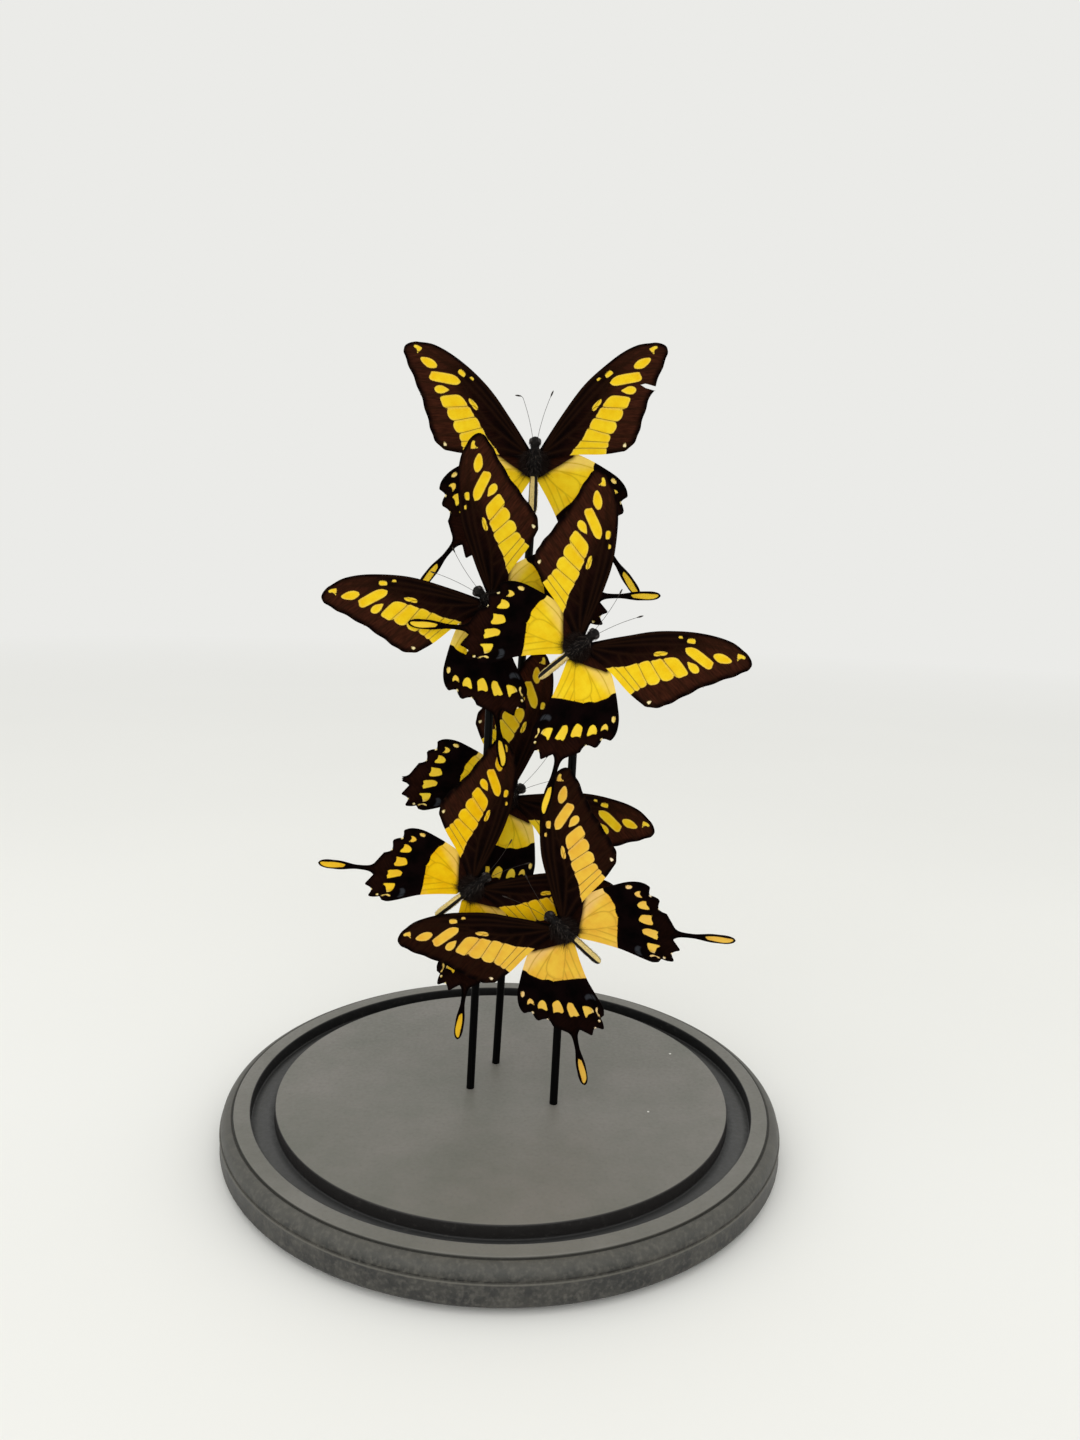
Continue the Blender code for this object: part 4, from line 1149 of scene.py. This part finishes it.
def wing_shape(kind, side, kept, torn, phase):
    """A closed thin sheet: the flat grid lifted to its two faces and joined round its edge, with
    each vein as a fine tube half sunk in it."""
    flat, grids, values = wing_template(kind, kept)
    if torn:
        flat, grids = open_tear(flat, grids[0])
        extra = len(flat) - len(values["mark"])
        again = grids[0][len(grids[0]) - extra:, -1]
        values = {name: np.concatenate([v, v[again]]) for name, v in values.items()}
    middle = lie_of(flat, values["edge"], values["ribs"], phase)
    thick = WING_THICKNESS[0] + WING_THICKNESS[1] * smooth_step(values["edge"], 0.0, 0.8)
    count = len(flat)
    faces = np.vstack([quads_of(g) for g in grids])
    border = rim_of(faces)
    rim = np.column_stack([border, border[:, ::-1] + count])
    both = np.vstack([np.column_stack([flat, middle + thick]), np.column_stack([flat, middle - thick])])
    read = {name: np.tile(values[name], 2) for name in WING_VALUES[:-1]}
    read["under"] = np.repeat([0.0, 1.0], count)
    read.update(wing_map(np.vstack([flat, flat])))
    shapes = [new_shape(both, [faces, faces[:, ::-1] + count, rim[:, [1, 0, 3, 2]]], **read)]
    for vein in VEINS[kind]:
        path = curve_through(vein, 8)
        if kept < 1:
            path = path[path[:, 1] > BROKEN_VEINS_END]
        if torn and path[-1, 1] == TORN_VEIN_TIP:
            path = path[path[:, 0] < TORN_VEIN_END]
        near = ((path[:, None] - flat[None]) ** 2).sum(2).argmin(1)
        lie = middle[near]
        radii = np.linspace(*VEIN_RADII, len(path))
        dark = VEIN_DARK[kind]
        if kind == "hind":
            dark = dark * smooth_step(values["mark"][near], -0.1, 0.2)
        shapes.append(tube(
            np.column_stack([path, lie]), radii, VEIN_SIDES, vein=dark, blue=FAR_OUT,
            **{name: values[name][near] for name in ("mark", "warm", "soot")}, **wing_map(path),
        ))
    shape = join(shapes)
    shape["points"][:, 0] *= side
    return shape if side > 0 else flipped(shape)


# Bodies.

def body_rings():
    """The body's stations drawn out to a fine smooth path."""
    return curve_through(BODY_STATIONS, 6)


def body_shape(twist):
    """Ovals along the body's axis, with the abdomen's rings pinched in by a wave, and a stripe
    value that is 1 on each side of the abdomen, which is twisted on its axis by an angle."""
    rings = body_rings()
    along, wide, deep, middle = rings.T
    part = np.clip((WAIST - along) / (WAIST - ABDOMEN_END), 0, 1)
    pinch = 1 - 0.06 * np.where(part > 0, np.cos(2 * math.pi * part * ABDOMEN_RINGS) ** 8, 0)
    turn = np.linspace(0, 2 * math.pi, BODY_SIDES, endpoint=False)
    points = np.stack([
        (wide * pinch)[:, None] * np.cos(turn), np.repeat(along[:, None], BODY_SIDES, axis=1),
        middle[:, None] + (deep * pinch)[:, None] * np.sin(turn),
    ], axis=-1)
    height = np.sin(turn + twist)[None]
    belt = smooth_step(height, -0.75, -0.55) * (1 - smooth_step(height, 0.8, 0.93))
    line = 1 - 0.9 * np.exp(-((height + 0.25) / 0.12) ** 2)
    stripe = belt * line * smooth_step(-along, 3.8, 5.0)[:, None]
    ends = [(0, along[0] + 0.05, middle[0]), (0, along[-1] - 0.05, middle[-1])]
    return flipped(new_shape(
        np.vstack([points.reshape(-1, 3), ends]), ring_faces(len(rings), BODY_SIDES),
        stripe=np.concatenate([stripe.ravel(), [0, 0]]),
    ))


def spikes(random, root, way, reach, radius, shade):
    """Fine tapered hairs: each a closed three-sided spike from its root along its way, sagging back
    along the body by the square of the distance from its root."""
    count = len(root)
    way = way / np.linalg.norm(way, axis=1, keepdims=True)
    bend = np.column_stack([
        random.normal(0, HAIR_BEND, count), np.full(count, -HAIR_SAG),
        random.normal(0, HAIR_BEND, count),
    ])
    across = np.cross(way, (0.3, 1.0, 0.2))
    across /= np.linalg.norm(across, axis=1, keepdims=True)
    up = np.cross(way, across)
    stations = np.array([0.0, 0.5])
    turns = np.array([0, 2, 4]) * math.pi / 3
    ring = (across[:, None, None] * np.cos(turns)[None, None, :, None]
            + up[:, None, None] * np.sin(turns)[None, None, :, None])
    run = reach[:, None] * stations
    middle = root[:, None] + way[:, None] * run[..., None]
    middle = middle + bend[:, None] * (run * stations)[..., None]
    slim = radius * np.array([1.0, 0.75])
    points = middle[:, :, None] + ring * slim[None, :, None, None]
    tip = root + (way + bend) * reach[:, None]
    made = np.concatenate([points.reshape(count, 6, 3), tip[:, None]], axis=1)
    start = (np.arange(count) * 7)[:, None, None]
    quads = np.array([[0, 1, 4, 3], [1, 2, 5, 4], [2, 0, 3, 5]])[None] + start
    tips = np.array([[2, 1, 0], [3, 4, 6], [4, 5, 6], [5, 3, 6]])[None] + start
    return new_shape(
        made.reshape(-1, 3), [quads.reshape(-1, 4), tips.reshape(-1, 3)], shade=np.repeat(shade, 7),
    )


def body_hair_shape(random, count, from_along, to_along, length, radius, grey):
    """Hair that stands out from the body all round and leans back along it."""
    rings = body_rings()
    along = random.uniform(to_along, from_along, count)
    order = np.argsort(rings[:, 0])
    wide, deep, middle = (np.interp(along, rings[order, 0], rings[order, k]) for k in (1, 2, 3))
    turn = random.uniform(0, 2 * math.pi, count)
    out = np.column_stack([np.cos(turn), np.zeros(count), np.sin(turn)])
    root = np.column_stack([wide * np.cos(turn), along, middle + deep * np.sin(turn)]) - out * 0.1
    way = out + np.column_stack([
        random.normal(0, 0.25, count), random.normal(-0.55, 0.35, count),
        random.normal(0, 0.25, count),
    ])
    reach = length * random.uniform(0.55, 1.15, count)
    shade = np.where(random.uniform(0, 1, count) < grey, random.uniform(0.5, 1.0, count), 0.1)
    return spikes(random, root, way, reach, radius, shade)


def root_hair_shape(random, count, side, lift):
    """Longer hair that starts on the thorax's flank and lies out over the roots of both wings."""
    along = random.uniform(*ROOT_HAIR_FROM_TO, count)
    root = np.column_stack([
        np.full(count, ROOT_HAIR_START * side), along, random.uniform(*ROOT_HAIR_HEIGHTS, count),
    ])
    rise = math.tan(math.radians(lift)) + random.uniform(-0.05, 0.1, count)
    way = np.column_stack([np.full(count, side), random.normal(-0.2, 0.35, count), rise])
    reach = random.uniform(*ROOT_HAIR_LENGTHS, count)
    shade = random.uniform(0.2, 0.6, count)
    return spikes(random, root, way, reach, ROOT_HAIR_RADIUS, shade)


def leg_shapes():
    """Six folded legs: each a round skin along a smooth path, thick at the thigh and thin at the
    foot, with a swelling at each joint."""
    shapes = []
    for start, spread in zip(LEG_STARTS, LEG_SPREAD):
        for side in (1, -1):
            corners = [(x * spread * side, start + y, z) for x, y, z in LEG_POINTS]
            path = spaced(curve_through(corners, 10), LEG_STEPS)
            t = np.linspace(0, 1, LEG_STEPS)
            radii = np.interp(t, np.linspace(0, 1, len(LEG_RADII)), LEG_RADII)
            joints = sum(np.exp(-((t - joint) / 0.03) ** 2) for joint in LEG_JOINTS)
            shapes.append(tube(path, radii * (1 + JOINT_SWELLS * joints), FINE_SIDES))
    return shapes


def antenna_shape(side, hook):
    """A thin stalk that bends out along a smooth path, and swells to a club before its tip."""
    t = np.linspace(0, 1, ANTENNA_STEPS)
    angle = ANTENNA_SPLAY + ANTENNA_BEND * (t - 0.5) * 2 + hook * smooth_step(t, 0.8, 0.92)
    rise = np.full(ANTENNA_STEPS, math.sin(ANTENNA_RISE))
    way = np.column_stack([np.sin(angle) * side, np.cos(angle), rise])
    run = np.cumsum(way[1:] * ANTENNA_LENGTH / (ANTENNA_STEPS - 1), axis=0)
    path = np.array(ANTENNA_START) * (side, 1, 1) + np.vstack([[0, 0, 0], run])
    into = np.clip((t - 1) * ANTENNA_LENGTH / CLUB_LENGTH + 1, 0, 1)
    club = np.sin(math.pi * into * 0.88) ** 1.5
    rings = 1 + 0.06 * np.cos(2 * math.pi * t * ANTENNA_RINGS)
    radii = ANTENNA_RADIUS * rings + (CLUB_RADIUS - ANTENNA_RADIUS) * club
    return tube(path, radii * np.where(t > 0.995, 0.5, 1), FINE_SIDES)


# The user's settings, the operators and the panel.

class BaseSettings(bpy.types.PropertyGroup):
    """Sizes of the turned base."""

    disc_radius: bpy.props.FloatProperty(
        name="Disc radius", description="Radius of the raised disc inside the groove",
        default=GROOVE_INNER, unit="LENGTH",
    )
    groove_width: bpy.props.FloatProperty(
        name="Groove width", description="Width of the ring groove",
        default=GROOVE_OUTER - GROOVE_INNER, unit="LENGTH",
    )
    groove_depth: bpy.props.FloatProperty(
        name="Groove depth", description="Depth of the ring groove", default=GROOVE_DEPTH,
        unit="LENGTH",
    )
    steps: bpy.props.IntProperty(
        name="Steps", description="Steps round the base", default=256, min=24,
    )


class InsectSettings(bpy.types.PropertyGroup):
    """How hairy the butterflies are."""

    hairs: bpy.props.IntProperty(
        name="Hairs", description="Hairs on one thorax", default=2000, min=0,
    )
    hair_length: bpy.props.FloatProperty(
        name="Hair length", description="Length of a thorax hair", default=1.7 * MM, unit="LENGTH",
    )


class StageSettings(bpy.types.PropertyGroup):
    """Floor, light and background."""

    background: bpy.props.FloatVectorProperty(
        name="Background", description="Colour of the background", subtype="COLOR", size=3,
        default=linear("#ebebe8")[:3],
    )
    light: bpy.props.FloatProperty(
        name="Light", description="Strength that the lamps share", default=3.0, unit="POWER",
    )


class BUTTERFLIES_OT_base(bpy.types.Operator):
    """Make the turned base with its ring groove and moulded edge"""

    bl_idname = "butterflies.base"
    bl_label = "Base"

    def execute(self, context):
        settings = context.scene.butterfly_base
        disc = settings.disc_radius / MM
        outer = disc + settings.groove_width / MM
        top = BASE_HEIGHT / MM
        floor = top - settings.groove_depth / MM
        inner_corners = [
            (0, top, 0), (disc / 2, top, 0), (disc, top, 0.6), (disc - WALL_LEAN, floor, 0.8),
            (outer + WALL_LEAN, floor, 0.8), (outer, top, 0.7), (RIM_RADIUS, top, 0.4),
            *[(radius, top - SLOT_DEPTH, 0.1) for radius in SLOT_RADII],
        ]
        oval = np.column_stack([
            OVAL_MIDDLE[0] + OVAL_REACH[0] * np.cos(OVAL_ANGLES),
            OVAL_MIDDLE[1] + OVAL_REACH[1] * np.sin(OVAL_ANGLES), np.zeros(len(OVAL_ANGLES)),
        ])
        corners = np.vstack([inner_corners, oval, LOWER_CORNERS])
        shape = lathe(rounded(corners[:, :2], corners[:, 2]), settings.steps)
        make_piece("base_turned", [moved(shape, Matrix())], painted_wood(), ["base"])
        crumbs = [
            ball((x, y, top + 0.1), (radius, radius * 0.8, 0.2), *CRUMB_GRID)
            for x, y, radius in CRUMBS
        ]
        make_piece("base_dust_crumbs", [moved(join(crumbs), Matrix())], dust(), [])
        return {"FINISHED"}


class BUTTERFLIES_OT_rods(bpy.types.Operator):
    """Make the three lacquered rods"""

    bl_idname = "butterflies.rods"
    bl_label = "Rods"

    def execute(self, context):
        material = lacquered_rod()
        for rod in RODS:
            node = f"rod_{rod}"
            low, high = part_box(node)
            heights = np.linspace(low.z - BASE_HEIGHT, high.z - BASE_HEIGHT, ROD_STEPS)
            radii = np.full(ROD_STEPS, ROD_RADIUS)
            radii[-1] *= ROD_TIP
            shape = tube(rod_points(rod, heights), radii, ROD_SIDES)
            make_piece(f"{node}_steel", [shape], material, [node])
        return {"FINISHED"}


class BUTTERFLIES_OT_wings(bpy.types.Operator):
    """Make the wings of the six butterflies with their veins and marks"""

    bl_idname = "butterflies.wings"
    bl_label = "Wings"

    def execute(self, context):
        dyes = {
            "lemon": wing_scales("lemon wing scales", "#e8c824", "#dfb415", "#eee0b4", "#3c1e13"),
            "golden": wing_scales("golden wing scales", "#e8be12", "#dca60a", "#ecdaa4", "#341a10"),
            "amber": wing_scales("amber wing scales", "#eac042", "#e2ab39", "#f6e4c4", "#27130b"),
        }
        for number, (name, butterfly) in enumerate(BUTTERFLIES.items()):
            place = body_frame(butterfly)
            for k, (word, side) in enumerate(SIDES):
                for kind, hinge in HINGES.items():
                    node = f"{name}_{kind}wing_{word}"
                    kept = BROKEN_TAILS.get((name, word), 1.0) if kind == "hind" else 1.0
                    shape = wing_shape(kind, side, kept, node == TORN_WING, number * 1.7 + k * 2.3)
                    matrix = place @ wing_frame(hinge, butterfly["lift"][k], butterfly[kind][k], side)
                    make_piece(
                        f"{node}_scaled", [moved(shape, matrix)], dyes[butterfly["dye"]],
                        [node],
                    )
        return {"FINISHED"}


class BUTTERFLIES_OT_bodies(bpy.types.Operator):
    """Make the six bodies with their hair, eyes and legs"""

    bl_idname = "butterflies.bodies"
    bl_label = "Bodies"

    def execute(self, context):
        settings = context.scene.butterfly_insects
        skin, hair, eye = dried_body(), body_hair(), compound_eye()
        leg = horn("dry leg horn", "#120c09", "#2b1d14")
        long = settings.hair_length / MM
        for number, (name, butterfly) in enumerate(BUTTERFLIES.items()):
            place = body_frame(butterfly)
            random = np.random.default_rng(number + 11)
            node = f"{name}_body"
            shape = body_shape(math.radians(butterfly["twist"]))
            make_piece(f"{node}_skin", [moved(shape, place)], skin, [node])
            hairs = [
                body_hair_shape(random, settings.hairs // part, start, end, long * share, radius, grey)
                for part, start, end, share, radius, grey in BODY_HAIR
            ]
            hairs += [
                root_hair_shape(random, settings.hairs // ROOT_HAIR_PART, side, butterfly["lift"][k])
                for k, (_, side) in enumerate(SIDES)
            ]
            x, y, z = EYE_PLACE
            eyes = [ball((x * side, y, z), EYE_RADII, *DROP_GRID) for side in (1, -1)]
            for word, shapes, material in (
                ("hair", hairs, hair), ("eyes", eyes, eye), ("legs", leg_shapes(), leg),
            ):
                make_piece(f"{node}_{word}", [moved(join(shapes), place)], material, [])
        return {"FINISHED"}


class BUTTERFLIES_OT_antennae(bpy.types.Operator):
    """Make the antennae with their clubs"""

    bl_idname = "butterflies.antennae"
    bl_label = "Antennae"

    def execute(self, context):
        material = horn("dry antenna horn", "#0e0a08", "#241912")
        for name, butterfly in BUTTERFLIES.items():
            place = body_frame(butterfly)
            for word, side in SIDES:
                node = f"{name}_antenna_{word}"
                shape = antenna_shape(side, ANTENNA_HOOKS.get((name, word), 0.0))
                make_piece(f"{node}_fine", [moved(shape, place)], material, [node])
        return {"FINISHED"}


class BUTTERFLIES_OT_glue(bpy.types.Operator):
    """Make the drop of glue that holds each thorax to its rod"""

    bl_idname = "butterflies.glue"
    bl_label = "Glue"

    def execute(self, context):
        material = glue()
        for name, butterfly in BUTTERFLIES.items():
            place = body_frame(butterfly)
            drop = ball(GLUE_PLACE, GLUE_RADII, *DROP_GRID)
            make_piece(f"{name}_glue_drop", [moved(drop, place)], material, [])
        return {"FINISHED"}


class BUTTERFLIES_OT_stage(bpy.types.Operator):
    """Make the floor, the light and the camera"""

    bl_idname = "butterflies.stage"
    bl_label = "Stage"

    def execute(self, context):
        settings = context.scene.butterfly_stage
        scene = context.scene
        mesh = bpy.data.meshes.new("floor")
        corners = [(x * FLOOR_HALF, y * FLOOR_HALF, 0) for x, y in ((-1, -1), (1, -1), (1, 1), (-1, 1))]
        mesh.from_pydata(corners, [], [(0, 1, 2, 3)])
        mesh.materials.append(backdrop(settings.background))
        floor = bpy.data.objects.new("floor", mesh)
        scene.collection.objects.link(floor)

        world = bpy.data.worlds.new("pale room")
        world.use_nodes = True
        shade = world.node_tree.nodes["Background"]
        shade.inputs["Color"].default_value = (*settings.background, 1.0)
        shade.inputs["Strength"].default_value = 1.0
        scene.world = world
        scene.view_settings.view_transform = "Standard"

        for name, (place, size, share) in LAMPS.items():
            lamp = bpy.data.lights.new(name, "AREA")
            lamp.size = size
            lamp.energy = settings.light * share
            light = bpy.data.objects.new(name, lamp)
            turn = (Vector(place) - Vector(LAMPS_LOOK_AT)).to_track_quat("Z", "Y")
            light.matrix_world = Matrix.Translation(place) @ turn.to_matrix().to_4x4()
            scene.collection.objects.link(light)

        lens = bpy.data.cameras.new("camera")
        lens.lens = CAMERA_LENS
        lens.sensor_width = SENSOR
        lens.clip_start = 0.01
        camera = bpy.data.objects.new("camera", lens)
        yaw, pitch, roll = (math.radians(CAMERA_TURNS[k]) for k in ("yaw", "pitch", "roll"))
        level = Matrix(((1, 0, 0), (0, 0, -1), (0, 1, 0)))
        tilt = Matrix.Rotation(roll, 3, "Z") @ Matrix.Rotation(pitch, 3, "X")
        to_camera = tilt @ level @ Matrix.Rotation(yaw, 3, "Z")
        turn = (Matrix.Diagonal((1, -1, -1)) @ to_camera).transposed()
        camera.matrix_world = Matrix.Translation(CAMERA_PLACE) @ turn.to_4x4()
        scene.collection.objects.link(camera)
        scene.camera = camera
        return {"FINISHED"}


class BUTTERFLIES_PT_panel(bpy.types.Panel):
    """Lists the pieces and their settings"""

    bl_idname = "BUTTERFLIES_PT_panel"
    bl_label = "Butterflies"
    bl_space_type = "VIEW_3D"
    bl_region_type = "UI"
    bl_category = "Butterflies"

    def draw(self, context):
        for name, group in GROUPS.items():
            for setting in group.__annotations__:
                self.layout.prop(getattr(context.scene, name), setting)
        for operator in OPERATORS:
            self.layout.operator(operator.bl_idname)


OPERATORS = (
    BUTTERFLIES_OT_stage, BUTTERFLIES_OT_base, BUTTERFLIES_OT_rods, BUTTERFLIES_OT_wings,
    BUTTERFLIES_OT_bodies, BUTTERFLIES_OT_antennae, BUTTERFLIES_OT_glue,
)
GROUPS = {
    "butterfly_base": BaseSettings, "butterfly_insects": InsectSettings,
    "butterfly_stage": StageSettings,
}


def register():
    """Registers the classes and hangs each settings group on the scene."""
    for made in (*GROUPS.values(), *OPERATORS, BUTTERFLIES_PT_panel):
        bpy.utils.register_class(made)
    for name, group in GROUPS.items():
        setattr(bpy.types.Scene, name, bpy.props.PointerProperty(type=group))


def unregister():
    """Takes the settings groups and the classes away again."""
    for name in GROUPS:
        delattr(bpy.types.Scene, name)
    for made in reversed((*GROUPS.values(), *OPERATORS, BUTTERFLIES_PT_panel)):
        bpy.utils.unregister_class(made)


def main():
    """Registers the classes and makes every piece."""
    register()
    for operator in OPERATORS:
        group, name = operator.bl_idname.split(".")
        getattr(getattr(bpy.ops, group), name)()


if __name__ == "__main__":
    main()
